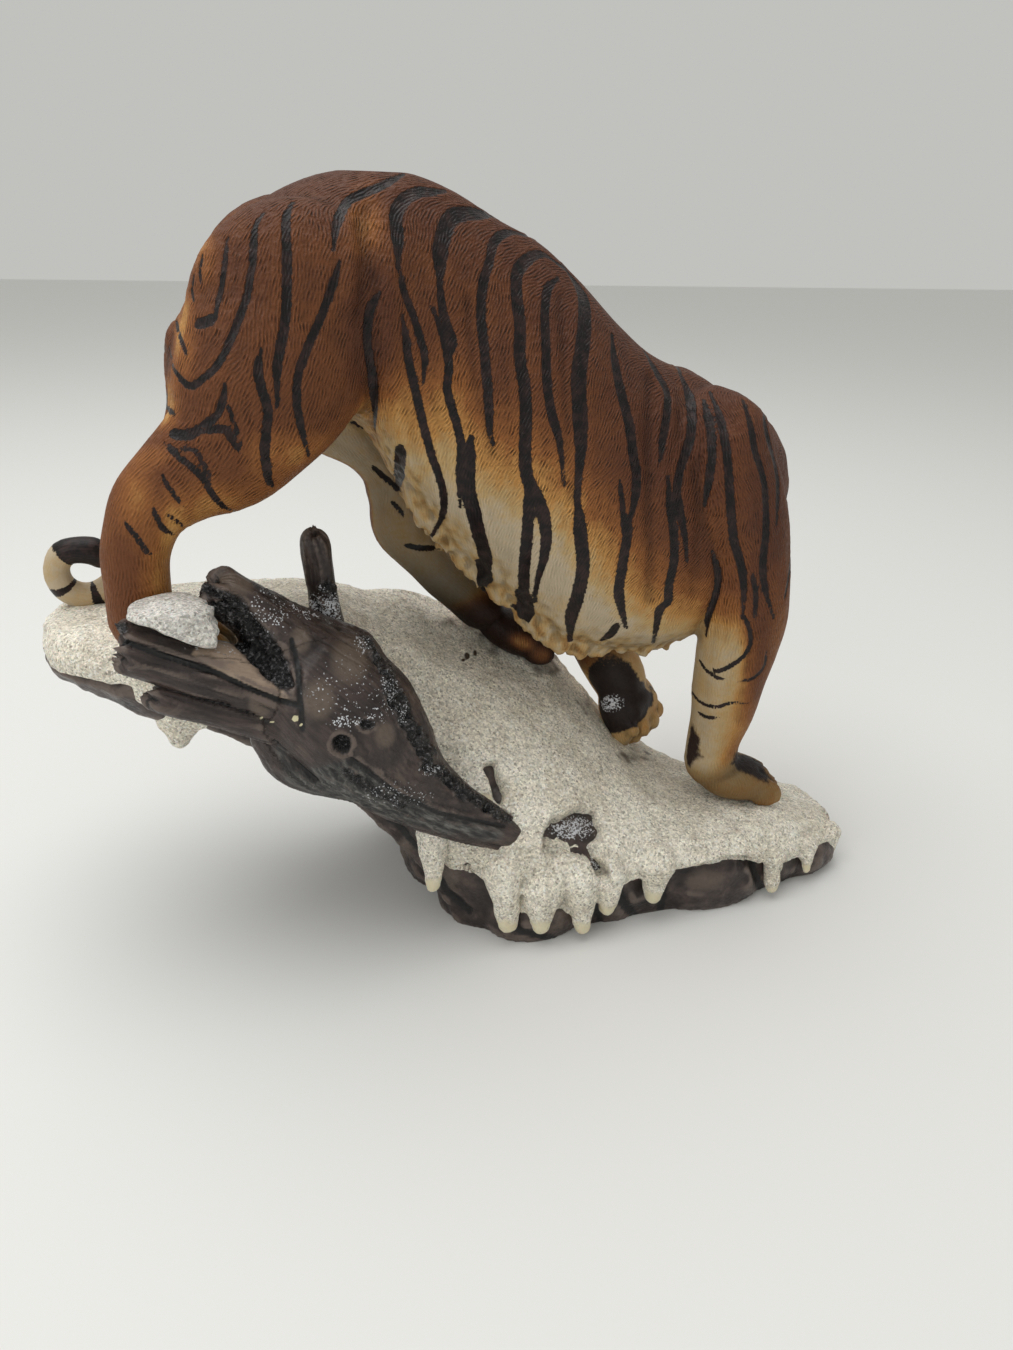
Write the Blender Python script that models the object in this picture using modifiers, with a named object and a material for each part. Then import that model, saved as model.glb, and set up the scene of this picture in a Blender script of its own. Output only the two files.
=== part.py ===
"""Prowling tiger on a snow-covered log and rock, painted cast resin, about 0.29 m long.

The tiger's heading is +X, its left side is +Y and the table is z = 0. Sizes are in millimetres.
"""

import math

import bmesh
import bpy
import numpy as np
from mathutils import Matrix, Vector

# General sizes

MM = 0.001
GAP = 0.3                # clearance between a casting and the snow laid on it
WELD = 0.02              # points closer than this are one, less where that would pinch the skin
SNOW_DEPTH = 6.0         # thickness of the snow on the rock
SNOW_OVERHANG = 2.5      # how far the snow reaches out past the rock's sides
ORIGIN = (1.5, -4.5, 0)  # moves the middle of the footprint to the origin

# Fineness of each casting: cell of the fused skin, then triangles kept

TIGER_GRAIN = 1.5
TIGER_FACES = 4800
BASE_GRAIN = 1.6
BASE_FACES = 2100
SNOW_GRAIN = 1.7
DRIFT_FACES = 1500
BLOCK_FACES = 200

# Trunk sections from the rump to the chest: top x z, bottom x z, half width

TRUNK = (
    (-99, 190, -101, 172, 8),
    (-93, 209, -98, 162, 19),
    (-79, 229, -88, 160, 26),
    (-60, 242, -67, 174, 29),
    (-39, 247, -45, 176, 28),
    (-15, 244.5, -28, 151, 27),
    (7, 234, -10, 128, 30),
    (27, 221, 9, 111, 33),
    (45, 205, 29, 95, 34.5),
    (62, 193, 52, 89, 34),
    (80, 186, 74, 90, 31),
    (93, 176, 90, 98, 26),
    (102, 160, 103, 112, 17),
)

# Muscle masses on the near side, then the far side: centre and radii

MASSES = (
    ((-62, -16, 207), (30, 18, 33)),
    ((-60, 16, 207), (30, 18, 33)),
    ((79, -16, 157), (22, 18, 28)),
    ((75, 16, 159), (22, 18, 29)),
)

# Limb stations: x, y, z, half width sideways, half width in the limb's plane

RIGHT_FOOT_Y = -27.0
RIGHT_PAW_Y = -23.0
LEFT_FOOT_Y = 24.0
RIGHT_HIND = (
    (-62, -15, 210, 18, 28),
    (-67, -19, 198, 18, 28),
    (-75, -22, 185, 17, 25),
    (-85, -25, 173, 14, 20.5),
    (-98, RIGHT_FOOT_Y, 165, 11.5, 14.5),
    (-107, RIGHT_FOOT_Y, 157, 10, 11.5),
    (-112, RIGHT_FOOT_Y, 145, 9, 9.5),
    (-113, RIGHT_FOOT_Y, 133, 9, 9),
    (-113, RIGHT_FOOT_Y, 122, 9.5, 9.5),
)
LEFT_HIND = (
    (-62, 15, 208, 18, 28),
    (-47, 20, 188, 17, 27),
    (-31, 23, 170, 14, 21),
    (-24, LEFT_FOOT_Y, 155, 11.5, 15),
    (-23, LEFT_FOOT_Y, 142, 10, 12.5),
    (-23, LEFT_FOOT_Y, 131, 9.5, 11.5),
    (-14, LEFT_FOOT_Y, 118, 9, 9),
    (-4, LEFT_FOOT_Y, 108, 9, 8.5),
    (7, LEFT_FOOT_Y, 98, 9.5, 8.5),
)
RIGHT_FORE = (
    (73, -13, 168, 17, 22),
    (82, -18, 150, 18, 22),
    (90, -21, 130, 16.5, 18.5),
    (93, RIGHT_PAW_Y, 110, 15, 16.5),
    (93, RIGHT_PAW_Y, 94, 13.5, 15),
    (92, RIGHT_PAW_Y, 80, 12.5, 13.5),
    (90.5, RIGHT_PAW_Y, 66, 11.5, 12),
    (88.5, RIGHT_PAW_Y, 54, 10, 10.5),
    (88.5, RIGHT_PAW_Y, 45, 10.5, 10.5),
)
LEFT_FORE = (
    (72, 13, 165, 17, 24),
    (66, 18, 140, 17, 20),
    (59, 21, 118, 15, 15),
    (56, 22, 100, 14, 14),
    (56, 22, 86, 13, 13),
    (60, 22, 74, 12, 12),
    (66, 20, 63, 12, 11),
)
NECK = (
    (74, 0, 148, 30, 36),
    (90, 7, 148, 27, 31),
    (103, 19, 141, 24, 26),
    (113, 32, 133, 21, 22),
)
TAIL = (
    (-90, 2, 199, 8.5, 8.5),
    (-93, 9, 190, 7, 7),
    (-95, 16, 176, 6, 6),
    (-101, 21, 161, 5.5, 5.5),
    (-108, 23, 147, 5, 5),
    (-114, 23, 133, 4.8, 4.8),
    (-121, 21, 121, 4.6, 4.6),
    (-130, 19, 115, 4.5, 4.5),
    (-138, 18, 117, 4.4, 4.4),
    (-141, 17, 124, 4.3, 4.3),
    (-138, 16, 131, 4.3, 4.3),
    (-130, 15, 132, 4.6, 4.6),
    (-126, 15, 130, 4.6, 4.6),
)

# Feet: centre, pitch and turn in degrees, half length, half width, half height

PAWS = (
    ((-103, RIGHT_FOOT_Y, 117), 4, 0, 15, 11.5, 7.5),
    ((21, LEFT_FOOT_Y, 86), 28, 0, 16, 11.5, 7.5),
    ((99, RIGHT_PAW_Y, 37), 14, 0, 17, 13.5, 9),
    ((72, 17, 52), 66, -58, 14.5, 15, 9.5),
)

# Head, laid out along its own x axis, then turned to the tiger's left

HEAD_AT = (117, 45, 127)
HEAD_TURN = 62.0
HEAD_DIP = 14.0
MUZZLE = (
    (5, 0, -4, 14, 12),
    (14, 0, -6, 12, 10),
    (21, 0, -7, 10.5, 9),
    (25, 0, -7, 9, 7.5),
)
NOSE_BRIDGE = (
    (2, 0, 10, 9, 7),
    (13, 0, 6, 6.5, 5),
    (24, 0, 0, 5, 4),
)
EAR = (4.2, 7.2, 7.6)

# Belly fringe: x and z at the tip of each hanging lock

FRINGE = (
    (-27, 149), (-22, 139), (-15, 131), (-7, 123), (1, 116), (8, 109), (15, 101),
    (22, 94), (30, 90), (39, 88), (48, 87), (57, 87), (66, 86), (74, 90),
)

# Snow surface over the rock: x, then y and z at the near edge, the middle and the far edge,
# then z of the rock's underside and of the snow's lower edge

GROUND = (
    (-147, 2, 107, 10, 109, 24, 107, 98, 101),
    (-140, -14, 109, 10, 112, 34, 109, 95, 101),
    (-122, -27, 109, 10, 113, 42, 109, 89, 101),
    (-100, -33, 110, 10, 113, 45, 109, 83, 101),
    (-78, -30, 111, 10, 113, 46, 109, 68, 100),
    (-60, -24, 109, 10, 112, 47, 108, 51, 95),
    (-46, -24, 100, 8, 107, 47, 105, 38, 85),
    (-36, -30, 76, 5, 99, 47, 102, 27, 60),
    (-24, -43, 46, 0, 93, 47, 101, 12, 30),
    (-12, -50, 44, -2, 84, 47, 97, -8, 27),
    (3, -56, 42, -5, 75, 46, 91, -8, 12),
    (20, -59, 38, -5, 67, 44, 84, -8, 10),
    (36, -58, 32, -5, 59, 42, 75, -8, 16),
    (52, -57, 29, -8, 46, 38, 57, -8, 20),
    (70, -57, 27, -10, 34, 33, 36, -8, 21),
    (88, -56, 26, -15, 30, 29, 23, -8, 20),
    (108, -53, 24, -18, 27, 24, 14, -8, 12),
    (130, -45, 18, -12, 20, 17, 11, -8, 10),
    (144, -34, 13, -10, 15, 6, 11, -8, 7),
)

# Rounded rocks along the foot: centre and radii

BOULDERS = (
    ((-17, 0, 12), (13, 22, 28)),
    ((-8, -28, 8), (14, 14, 22)),
    ((10, -45, 6), (19, 14, 14)),
    ((40, -42, 6), (16, 13, 13)),
    ((80, -43, 8), (26, 15, 16)),
    ((124, -34, 6), (17, 14, 10)),
    ((10, 34, 20), (40, 12, 30)),
)

# Log and its broken branches: x, y, z, then two radii

LOG_TRUNK = (
    (8, -45, 36, 5, 4.5),
    (-6, -45, 43, 8.5, 7),
    (-22, -43, 53, 12, 10),
    (-36, -41, 65, 17, 15),
    (-50, -37, 83, 24, 22),
    (-64, -35, 98, 23, 22),
)
UPPER_BRANCH = (
    (-56, -32, 100, 20, 17),
    (-71, -34, 114, 15, 12),
    (-82, -36, 127, 9, 8),
    (-90, -37, 134, 8, 7),
)
TOP_SPLINTER = (
    (-84, -43, 112, 7, 4),
    (-100, -45, 119, 8, 3.5),
    (-116, -46, 126, 6, 3),
)
MIDDLE_SPLINTER = (
    (-62, -42, 95, 12, 12),
    (-80, -45, 104, 9, 8.5),
    (-98, -47, 112, 7.5, 6.5),
    (-116, -48, 120, 6, 5),
)
LOWER_SPLINTER = (
    (-64, -42, 86, 9, 7),
    (-80, -46, 94, 7, 5.5),
    (-96, -48, 101, 6, 4.5),
    (-110, -49, 107, 5, 4),
)
UNDER_BULGE = (
    (-78, -38, 84, 8, 7),
    (-70, -38, 75, 12, 9),
    (-52, -38, 67, 12, 9),
    (-36, -38, 59, 8, 7),
)
TWIG = (
    (-55, -14, 100, 6, 6),
    (-57, -14, 118, 5, 5),
    (-59, -14, 139, 4.6, 4.6),
)
KNOTS = (
    ((-57, -59, 86), (4.5, 4, 4.5)),
    ((-48, -57, 91), (3.4, 3, 3.4)),
)

# Snow drips over the rock's front: x, y, z at the root, x, y, z at the tip, root radius

DRIPS = (
    (-27, -42, 42, -28, -48, 25, 6),
    (-4, -52, 30, -3, -56, 9, 7),
    (10, -56, 22, 9, -59, 9, 8),
    (23, -57, 24, 24, -60, 6, 7),
    (34, -56, 24, 34, -58, 11, 7),
    (53, -55, 24, 52, -57, 12, 7),
    (104, -52, 18, 103, -55, 5, 5),
    (121, -47, 16, 121, -50, 7, 5),
    (137, -39, 14, 138, -40, 7, 5),
)
DRIP_TAPER = 0.5         # tip radius over root radius

# Snow wedge hanging behind the branches, and the lump lying on the top splinter

WEDGE = (
    (-103, -26, 106, 7, 16),
    (-103, -24, 92, 5, 15),
    (-106, -22, 84, 3.5, 8),
    (-107, -21, 77, 2.5, 3),
)
BLOCK = (
    (-111, -46, 131, 9, 4.5),
    (-103, -46, 131, 12, 6),
    (-94, -44, 126, 11, 6),
)

# Bare hollow in the snow on the front: centre and radii

HOLLOW = ((22, -52, 40), (11, 11, 8))


def clear_scene():
    for item in list(bpy.data.objects):
        bpy.data.objects.remove(item, do_unlink=True)


def new_collection(name):
    made = bpy.data.collections.new(name)
    bpy.context.scene.collection.children.link(made)
    return made


def painted(name, colour, roughness):
    made = bpy.data.materials.new(name)
    made.use_nodes = True
    shader = made.node_tree.nodes["Principled BSDF"]
    shader.inputs["Base Color"].default_value = (*colour, 1.0)
    shader.inputs["Roughness"].default_value = roughness
    shader.inputs["Metallic"].default_value = 0.0
    made.diffuse_color = (*colour, 1.0)
    return made


def spline(rows, steps):
    """Even curve through the rows, with in-between rows on each stretch."""
    rows = [np.array(row, float) for row in rows]
    ends = [2 * rows[0] - rows[1]] + rows + [2 * rows[-1] - rows[-2]]
    out = []
    for index in range(1, len(ends) - 2):
        p0, p1, p2, p3 = ends[index - 1:index + 3]
        for step in range(steps):
            t = step / steps
            out.append(0.5 * (2 * p1 + (p2 - p0) * t + (2 * p0 - 5 * p1 + 4 * p2 - p3) * t * t
                              + (3 * p1 - p0 - 3 * p2 + p3) * t ** 3))
    out.append(rows[-1])
    return out


def skin_rings(mesh, rings):
    """Join closed rings of equal length and close both ends."""
    loops = [[mesh.verts.new(Vector(point) * MM) for point in ring] for ring in rings]
    count = len(loops[0])
    for one, two in zip(loops, loops[1:]):
        for k in range(count):
            mesh.faces.new((one[k], one[(k + 1) % count], two[(k + 1) % count], two[k]))
    mesh.faces.new(list(reversed(loops[0])))
    mesh.faces.new(loops[-1])


def limb(mesh, stations, side=(0, 1, 0)):
    """Oval loft along a curved line, with domed ends."""
    rows = spline(stations, 4)
    centres = [Vector(row[:3]) for row in rows]
    dome = [(0.45, 0.88), (0.8, 0.6), (0.97, 0.25)]
    rings = []
    for index, row in enumerate(rows):
        ahead = centres[min(index + 1, len(rows) - 1)] - centres[max(index - 1, 0)]
        ahead.normalize()
        across = Vector(side) - ahead * ahead.dot(Vector(side))
        across.normalize()
        deep = ahead.cross(across)
        ends = [(0.0, 1.0)]
        if index == 0:
            ends = [(-far, small) for far, small in reversed(dome)] + ends
        if index == len(rows) - 1:
            ends = ends + dome
        for far, small in ends:
            middle = centres[index] + ahead * far * min(row[3], row[4])
            ring = []
            for k in range(16):
                turn = 2 * math.pi * k / 16
                ring.append(middle + across * row[3] * small * math.cos(turn)
                            + deep * row[4] * small * math.sin(turn))
            rings.append(ring)
    skin_rings(mesh, rings)


def ball(mesh, centre, radii, turn=None):
    """Oval solid, turned by a matrix when one is given."""
    place = Matrix.Translation(Vector(centre) * MM)
    if turn is not None:
        place = place @ turn
    place = place @ Matrix.Diagonal((*(Vector(radii) * MM), 1.0))
    bmesh.ops.create_uvsphere(mesh, u_segments=18, v_segments=12, radius=1.0, matrix=place)


def trunk(mesh):
    """Body sections, fuller below than along the spine."""
    rings = []
    for row in spline(TRUNK, 4):
        top = Vector((row[0], 0, row[1]))
        bottom = Vector((row[2], 0, row[3]))
        middle = (top + bottom) / 2
        rise = (top - bottom) / 2
        ring = []
        for k in range(24):
            turn = 2 * math.pi * k / 24
            up = math.sin(turn)
            wide = row[4] * (1.0 - 0.14 * up)
            ring.append(middle + rise * up + Vector((0, wide * math.cos(turn), 0)))
        rings.append(ring)
    skin_rings(mesh, rings)


def turned(yaw, pitch):
    return Matrix.Rotation(math.radians(yaw), 4, "Z") @ Matrix.Rotation(math.radians(pitch), 4, "Y")


def paw(mesh, centre, pitch, yaw, long, wide, high):
    """Foot with four toes, its length along the turned x axis."""
    turn = turned(yaw, pitch)
    ball(mesh, centre, (long, wide, high), turn)
    for place in (-0.72, -0.26, 0.26, 0.72):
        reach = 0.78 - 0.25 * abs(place)
        tip = turn @ Vector((long * reach, wide * place, -high * 0.2))
        ball(mesh, Vector(centre) + tip, (long * 0.42, wide * 0.29, high * 0.66), turn)


def head(mesh):
    """Skull, muzzle and chin, then the paired cheeks, ruff, brows, whisker pads and ears."""
    made = bmesh.new()
    ball(made, (-1, 0, 1), (20, 19, 18))
    limb(made, MUZZLE)
    limb(made, NOSE_BRIDGE)
    ball(made, (17, 0, -15), (8, 8, 5.5))
    for side in (-1, 1):
        ball(made, (-3, side * 14.5, -7), (12, 8.5, 14))
        ball(made, (7, side * 9, 9), (8, 6, 5))
        ball(made, (20, side * 6.5, -8), (7.5, 6.5, 6.5))
        ball(made, (-9, side * 14.5, 16), EAR)
    turn = turned(HEAD_TURN, HEAD_DIP)
    for vert in made.verts:
        vert.co = turn @ vert.co + Vector(HEAD_AT) * MM
    keep = bpy.data.meshes.new("head_form")
    made.to_mesh(keep)
    made.free()
    mesh.from_mesh(keep)
    bpy.data.meshes.remove(keep)


def fringe(mesh):
    """Short locks along the belly on both sides of the middle, every second one shorter."""
    for index, (x, z) in enumerate(FRINGE):
        short = 2.0 * (index % 2)
        for side in (-1, 1):
            limb(mesh, ((x + 2, side * 9, z + 16 + short, 5.5, 5), (x + 1, side * 8, z + 9, 5.5, 4.5),
                        (x, side * 6, z + 3 + short, 3.5, 2.6)))


def mound(mesh, drop, inset, is_rock, toe):
    """Hill lofted along x: drop lowers its surface, inset draws in its sides, is_rock picks its foot."""
    rings = []
    for row in spline(GROUND, 3):
        x, y1, z1, y2, z2, y3, z3 = row[:7]
        low = row[7] if is_rock else row[8]
        y1 = y1 + inset
        y3 = y3 - inset
        z1 = max(z1 - drop, low + 2)
        z2 = max(z2 - drop, low + 3)
        z3 = max(z3 - drop, low + 2)
        rings.append([
            (x, y1 + toe, low), (x, y1, low + 0.6 * (z1 - low)), (x, y1 + 2, z1 - 2), (x, y1 + 7, z1 + 2),
            (x, (y1 + y2) / 2, (z1 + z2) / 2 + 2), (x, y2, z2), (x, (y2 + y3) / 2, (z2 + z3) / 2 + 1),
            (x, y3 - 7, z3 + 1), (x, y3 - 2, z3 - 3), (x, y3, (low + z3) / 2), (x, y3 - toe, low)])
    skin_rings(mesh, rings)


def tiger_form():
    mesh = bmesh.new()
    trunk(mesh)
    for stations in (RIGHT_HIND, LEFT_HIND, RIGHT_FORE, LEFT_FORE, TAIL):
        limb(mesh, stations)
    limb(mesh, NECK, side=(-0.5, 0.85, 0))
    for centre, radii in MASSES:
        ball(mesh, centre, radii)
    for foot in PAWS:
        paw(mesh, *foot)
    fringe(mesh)
    head(mesh)
    return mesh


def base_form():
    mesh = bmesh.new()
    mound(mesh, SNOW_DEPTH, SNOW_OVERHANG, True, 5)
    for stations in (LOG_TRUNK, UPPER_BRANCH, TOP_SPLINTER, MIDDLE_SPLINTER, LOWER_SPLINTER,
                     UNDER_BULGE, TWIG):
        limb(mesh, stations)
    for centre, radii in BOULDERS:
        ball(mesh, centre, radii)
    return mesh


def drift_form():
    mesh = bmesh.new()
    mound(mesh, 0.0, 0.0, False, 1)
    limb(mesh, WEDGE)
    for x1, y1, z1, x2, y2, z2, wide in DRIPS:
        tip = wide * DRIP_TAPER
        half = (wide + tip) / 2
        limb(mesh, ((x1, y1, z1, wide, wide), ((x1 + x2) / 2, (y1 + y2) / 2, (z1 + z2) / 2, half, half),
                    (x2, y2, z2, tip, tip)))
    return mesh


def block_form():
    mesh = bmesh.new()
    limb(mesh, BLOCK)
    return mesh


def hollows_form(hollows):
    mesh = bmesh.new()
    for centre, radii in hollows:
        ball(mesh, centre, radii)
    return mesh


def put(name, mesh, holder):
    """Object made from a finished form."""
    bmesh.ops.recalc_face_normals(mesh, faces=mesh.faces)
    data = bpy.data.meshes.new(name)
    mesh.to_mesh(data)
    mesh.free()
    made = bpy.data.objects.new(name, data)
    holder.objects.link(made)
    return made


def settle(made):
    """Turn an object's modifiers into plain mesh."""
    graph = bpy.context.evaluated_depsgraph_get()
    data = bpy.data.meshes.new_from_object(made.evaluated_get(graph))
    made.modifiers.clear()
    old = made.data
    made.data = data
    bpy.data.meshes.remove(old)


def fuse(made, grain, easing, faces):
    """Melt overlapping forms into one skin, ease it and lighten it."""
    step = made.modifiers.new("fuse", "REMESH")
    step.mode = "VOXEL"
    step.voxel_size = grain * MM
    step = made.modifiers.new("ease", "SMOOTH")
    step.factor = 0.5
    step.iterations = easing
    settle(made)
    made.data.calc_loop_triangles()
    step = made.modifiers.new("lighten", "DECIMATE")
    step.ratio = faces / len(made.data.loop_triangles)
    step.use_collapse_triangulate = True
    settle(made)


def level_underside(made):
    """Cut everything below the table away and close the flat foot."""
    mesh = bmesh.new()
    mesh.from_mesh(made.data)
    cut = bmesh.ops.bisect_plane(mesh, geom=mesh.verts[:] + mesh.edges[:] + mesh.faces[:],
                                 plane_co=(0, 0, 0), plane_no=(0, 0, -1), clear_outer=True)
    rim = [item for item in cut["geom_cut"] if isinstance(item, bmesh.types.BMEdge)]
    bmesh.ops.holes_fill(mesh, edges=rim)
    bmesh.ops.triangulate(mesh, faces=[face for face in mesh.faces if len(face.verts) > 3])
    mesh.to_mesh(made.data)
    mesh.free()


def as_cutter(made):
    made.hide_render = True
    made.display_type = "WIRE"
    return made


def grown(name, source):
    """Copy of a solid with the clearance added all round, used only for cutting."""
    made = bpy.data.objects.new(name, source.data.copy())
    cutters.objects.link(made)
    step = made.modifiers.new("grow", "DISPLACE")
    step.strength = GAP * MM
    step.mid_level = 0.0
    settle(made)
    return as_cutter(made)


def take_away(made, cutter):
    step = made.modifiers.new("cut", "BOOLEAN")
    step.operation = "DIFFERENCE"
    step.solver = "EXACT"
    step.use_self = True
    step.object = cutter
    settle(made)


def keep_largest(made):
    """Drop the crumbs a cut leaves beside the main piece."""
    mesh = bmesh.new()
    mesh.from_mesh(made.data)
    left = set(mesh.verts)
    best = set()
    while left:
        seed = left.pop()
        found = {seed}
        queue = [seed]
        while queue:
            for edge in queue.pop().link_edges:
                for vert in edge.verts:
                    if vert in left:
                        left.remove(vert)
                        found.add(vert)
                        queue.append(vert)
        if len(found) > len(best):
            best = found
    bmesh.ops.delete(mesh, geom=[vert for vert in mesh.verts if vert not in best], context="VERTS")
    for share in (1.0, 0.25, 0.05):
        welded = mesh.copy()
        bmesh.ops.remove_doubles(welded, verts=welded.verts, dist=share * WELD * MM)
        bmesh.ops.dissolve_degenerate(welded, edges=welded.edges, dist=share * WELD * MM)
        bmesh.ops.triangulate(welded, faces=welded.faces)
        welded.to_mesh(made.data)
        closed = all(edge.is_manifold for edge in welded.edges)
        welded.free()
        if closed:
            break
    mesh.free()


def finish(made, look):
    """Shift to the shared origin, colour and shade smooth."""
    made.data.transform(Matrix.Translation(Vector(ORIGIN) * MM))
    made.data.materials.clear()
    made.data.materials.append(look)
    for face in made.data.polygons:
        face.use_smooth = True


clear_scene()
main = new_collection("snow_tiger")
cutters = new_collection("cutters")

# The castings and the snow, each melted into one skin

tiger = put("tiger", tiger_form(), main)
base = put("base", base_form(), main)
drift = put("snow_drift", drift_form(), main)
block = put("snow_block", block_form(), main)
fuse(tiger, TIGER_GRAIN, 3, TIGER_FACES)
fuse(base, BASE_GRAIN, 2, BASE_FACES)
fuse(drift, SNOW_GRAIN, 3, DRIFT_FACES)
fuse(block, SNOW_GRAIN, 2, BLOCK_FACES)
keep_largest(tiger)
level_underside(base)

# Knot holes in the log and the bare hollow in the snow

knots = as_cutter(put("knots", hollows_form(KNOTS), cutters))
take_away(base, knots)
bare = as_cutter(put("bare_hollow", hollows_form([HOLLOW]), cutters))
take_away(drift, bare)

# The snow lies on the wood and rock, and the feet are pressed into it

tiger_room = grown("tiger_room", tiger)
take_away(base, tiger_room)
keep_largest(base)
base_room = grown("base_room", base)
for snow in (drift, block):
    take_away(snow, tiger_room)
    take_away(snow, base_room)
    keep_largest(snow)

coat = painted("tiger_coat", (0.30, 0.12, 0.045), 0.5)
wood = painted("dark_wood_and_rock", (0.075, 0.055, 0.052), 0.45)
white = painted("snow", (0.60, 0.57, 0.49), 0.75)
finish(tiger, coat)
finish(base, wood)
finish(drift, white)
finish(block, white)
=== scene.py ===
"""Looks of the prowling tiger on its snowy log: painted cast resin, about 0.29 m long.

The forms are laid out in millimetres in the casting's own frame (heading +X, left side +Y, table z = 0)
and shifted by ORIGIN at the end. EYE and the values after it are the camera of the photograph in the same frame.
"""

import math

import bmesh
import bpy
import numpy as np
from mathutils import Matrix, Vector
from mathutils.bvhtree import BVHTree


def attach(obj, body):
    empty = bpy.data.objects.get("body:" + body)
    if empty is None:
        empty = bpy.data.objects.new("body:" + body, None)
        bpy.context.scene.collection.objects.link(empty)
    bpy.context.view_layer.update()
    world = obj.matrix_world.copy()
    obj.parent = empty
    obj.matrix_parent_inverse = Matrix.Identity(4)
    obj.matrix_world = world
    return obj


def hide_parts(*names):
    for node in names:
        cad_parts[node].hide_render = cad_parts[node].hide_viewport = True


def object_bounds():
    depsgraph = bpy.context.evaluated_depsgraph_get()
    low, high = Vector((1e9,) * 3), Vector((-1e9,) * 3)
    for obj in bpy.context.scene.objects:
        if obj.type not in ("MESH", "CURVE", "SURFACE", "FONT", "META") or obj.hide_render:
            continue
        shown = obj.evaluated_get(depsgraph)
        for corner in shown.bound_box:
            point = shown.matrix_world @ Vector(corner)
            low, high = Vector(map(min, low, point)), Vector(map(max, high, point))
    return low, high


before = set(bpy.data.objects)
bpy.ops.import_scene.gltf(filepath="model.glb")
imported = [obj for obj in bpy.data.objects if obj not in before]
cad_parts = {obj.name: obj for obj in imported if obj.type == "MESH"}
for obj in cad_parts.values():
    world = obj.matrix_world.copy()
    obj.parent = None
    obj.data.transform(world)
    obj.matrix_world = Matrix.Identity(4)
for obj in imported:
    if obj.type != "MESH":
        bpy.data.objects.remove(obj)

cad_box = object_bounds()

MM = 0.001
ORIGIN = np.array((1.5, -4.5, 0.0))

# Fineness: cell of each fused skin, in mm

BODY_GRAIN = 1.15
LOG_GRAIN = 0.85
ROCK_GRAIN = 1.3
SNOW_GRAIN = 0.9
BLOCK_GRAIN = 0.7

FAR_OFF = 7.0            # distance in mm beyond which a drawn line or band has no effect
DOME = [(0.45, 0.88), (0.8, 0.6), (0.97, 0.25)]     # rings of a limb's end: reach and size

# Photograph's camera: place in mm, then heading, dip and roll in degrees

EYE = np.array((-90.0, -330.0, 240.0))
HEADING = 17.0
DIP = 25.0
ROLL = 1.9
FOCUS = 1014.0           # focal length in pixels of the 1013 x 1350 picture
PICTURE_HEIGHT = 1350
MIDDLE = np.array((506.5, 675.0))
SENSOR = 36.0            # long side of the sensor, in mm

# Trunk sections from the rump to the chest: top x z, bottom x z, half width

TRUNK = (
    (-99, 190, -101, 172, 8), (-93, 209, -98, 162, 19), (-79, 229, -88, 160, 26), (-60, 242, -67, 174, 29),
    (-39, 247, -45, 176, 28), (-15, 244.5, -28, 151, 27), (7, 234, -10, 128, 30), (27, 221, 9, 111, 33),
    (45, 205, 29, 95, 34.5), (62, 193, 52, 89, 34), (80, 186, 74, 90, 31), (93, 176, 90, 98, 26),
    (102, 160, 103, 112, 17),
)

# Coat along the trunk sections: height (0 belly, 1 spine) where cream ends, gold ends and brown is full

COAT = (
    (0.02, 0.1, 0.3), (0.02, 0.12, 0.3), (0.02, 0.15, 0.35), (0.04, 0.2, 0.42), (0.04, 0.2, 0.42), (0.1, 0.3, 0.5),
    (0.24, 0.4, 0.56), (0.3, 0.44, 0.58), (0.24, 0.38, 0.52), (0.16, 0.28, 0.42), (0.1, 0.22, 0.4), (0.08, 0.2, 0.4),
    (0.08, 0.2, 0.4),
)

# Patches where the coat is paler (below 0) or darker: middle and reach in pixels of the photograph, change. Most are
# coat colour; the pale one at the hip bone is a painted highlight, and the dark ones between haunch and flank and on
# the shoulder are painted shade.

TINTS_AND_PAINTED_LIGHT = (
    (366, 222, 26, 44, -0.42), (372, 340, 32, 90, 0.34), (300, 452, 70, 26, -0.26), (215, 500, 40, 20, -0.16),
    (172, 520, 16, 40, -0.2), (135, 500, 24, 50, -0.22), (150, 455, 26, 16, -0.2), (205, 260, 16, 40, -0.26),
    (185, 330, 16, 60, -0.34), (168, 400, 14, 40, -0.32), (450, 410, 26, 90, -0.14), (500, 390, 18, 80, 0.1),
    (757, 640, 18, 80, 0.34), (700, 560, 24, 40, 0.12), (690, 430, 60, 110, 0.16), (640, 420, 40, 90, 0.12),
    (560, 330, 40, 80, 0.1), (250, 270, 40, 60, 0.1), (240, 340, 30, 50, 0.06), (125, 560, 20, 40, 0.12),
    (770, 500, 20, 90, 0.2),
)

# Muscle masses: centre and half sizes

MASSES = (
    ((-62, -16, 207), (30, 18, 33)), ((-60, 16, 207), (30, 18, 33)), ((79, -16, 157), (22, 18, 28)),
    ((75, 16, 159), (22, 18, 29)),
)

# Creases (below 0) and ridges of the muscles: pixels, half width in pixels, height in mm

CREASES = (
    ((366, 205, 360, 260, 368, 330, 372, 400, 366, 436), 11.0, -1.0),
    ((392, 250, 388, 320, 392, 390, 400, 440), 10.0, 1.0),
    ((345, 215, 352, 250, 350, 300), 9.0, 1.4),
    ((470, 300, 476, 380, 492, 450), 7.0, -0.7),
    ((560, 300, 566, 400, 572, 500), 7.0, -0.7),
    ((650, 380, 648, 470, 652, 560, 650, 600), 8.0, -1.3),
    ((700, 420, 700, 520, 694, 590), 9.0, -1.0),
    ((735, 440, 745, 540, 752, 610), 10.0, 0.9),
    ((752, 640, 744, 680, 738, 720), 6.0, -0.7),
    ((722, 650, 716, 700, 712, 745), 7.0, 0.6),
)

# Limb stations: x, y, z, half width sideways, half width in the limb's plane

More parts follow.
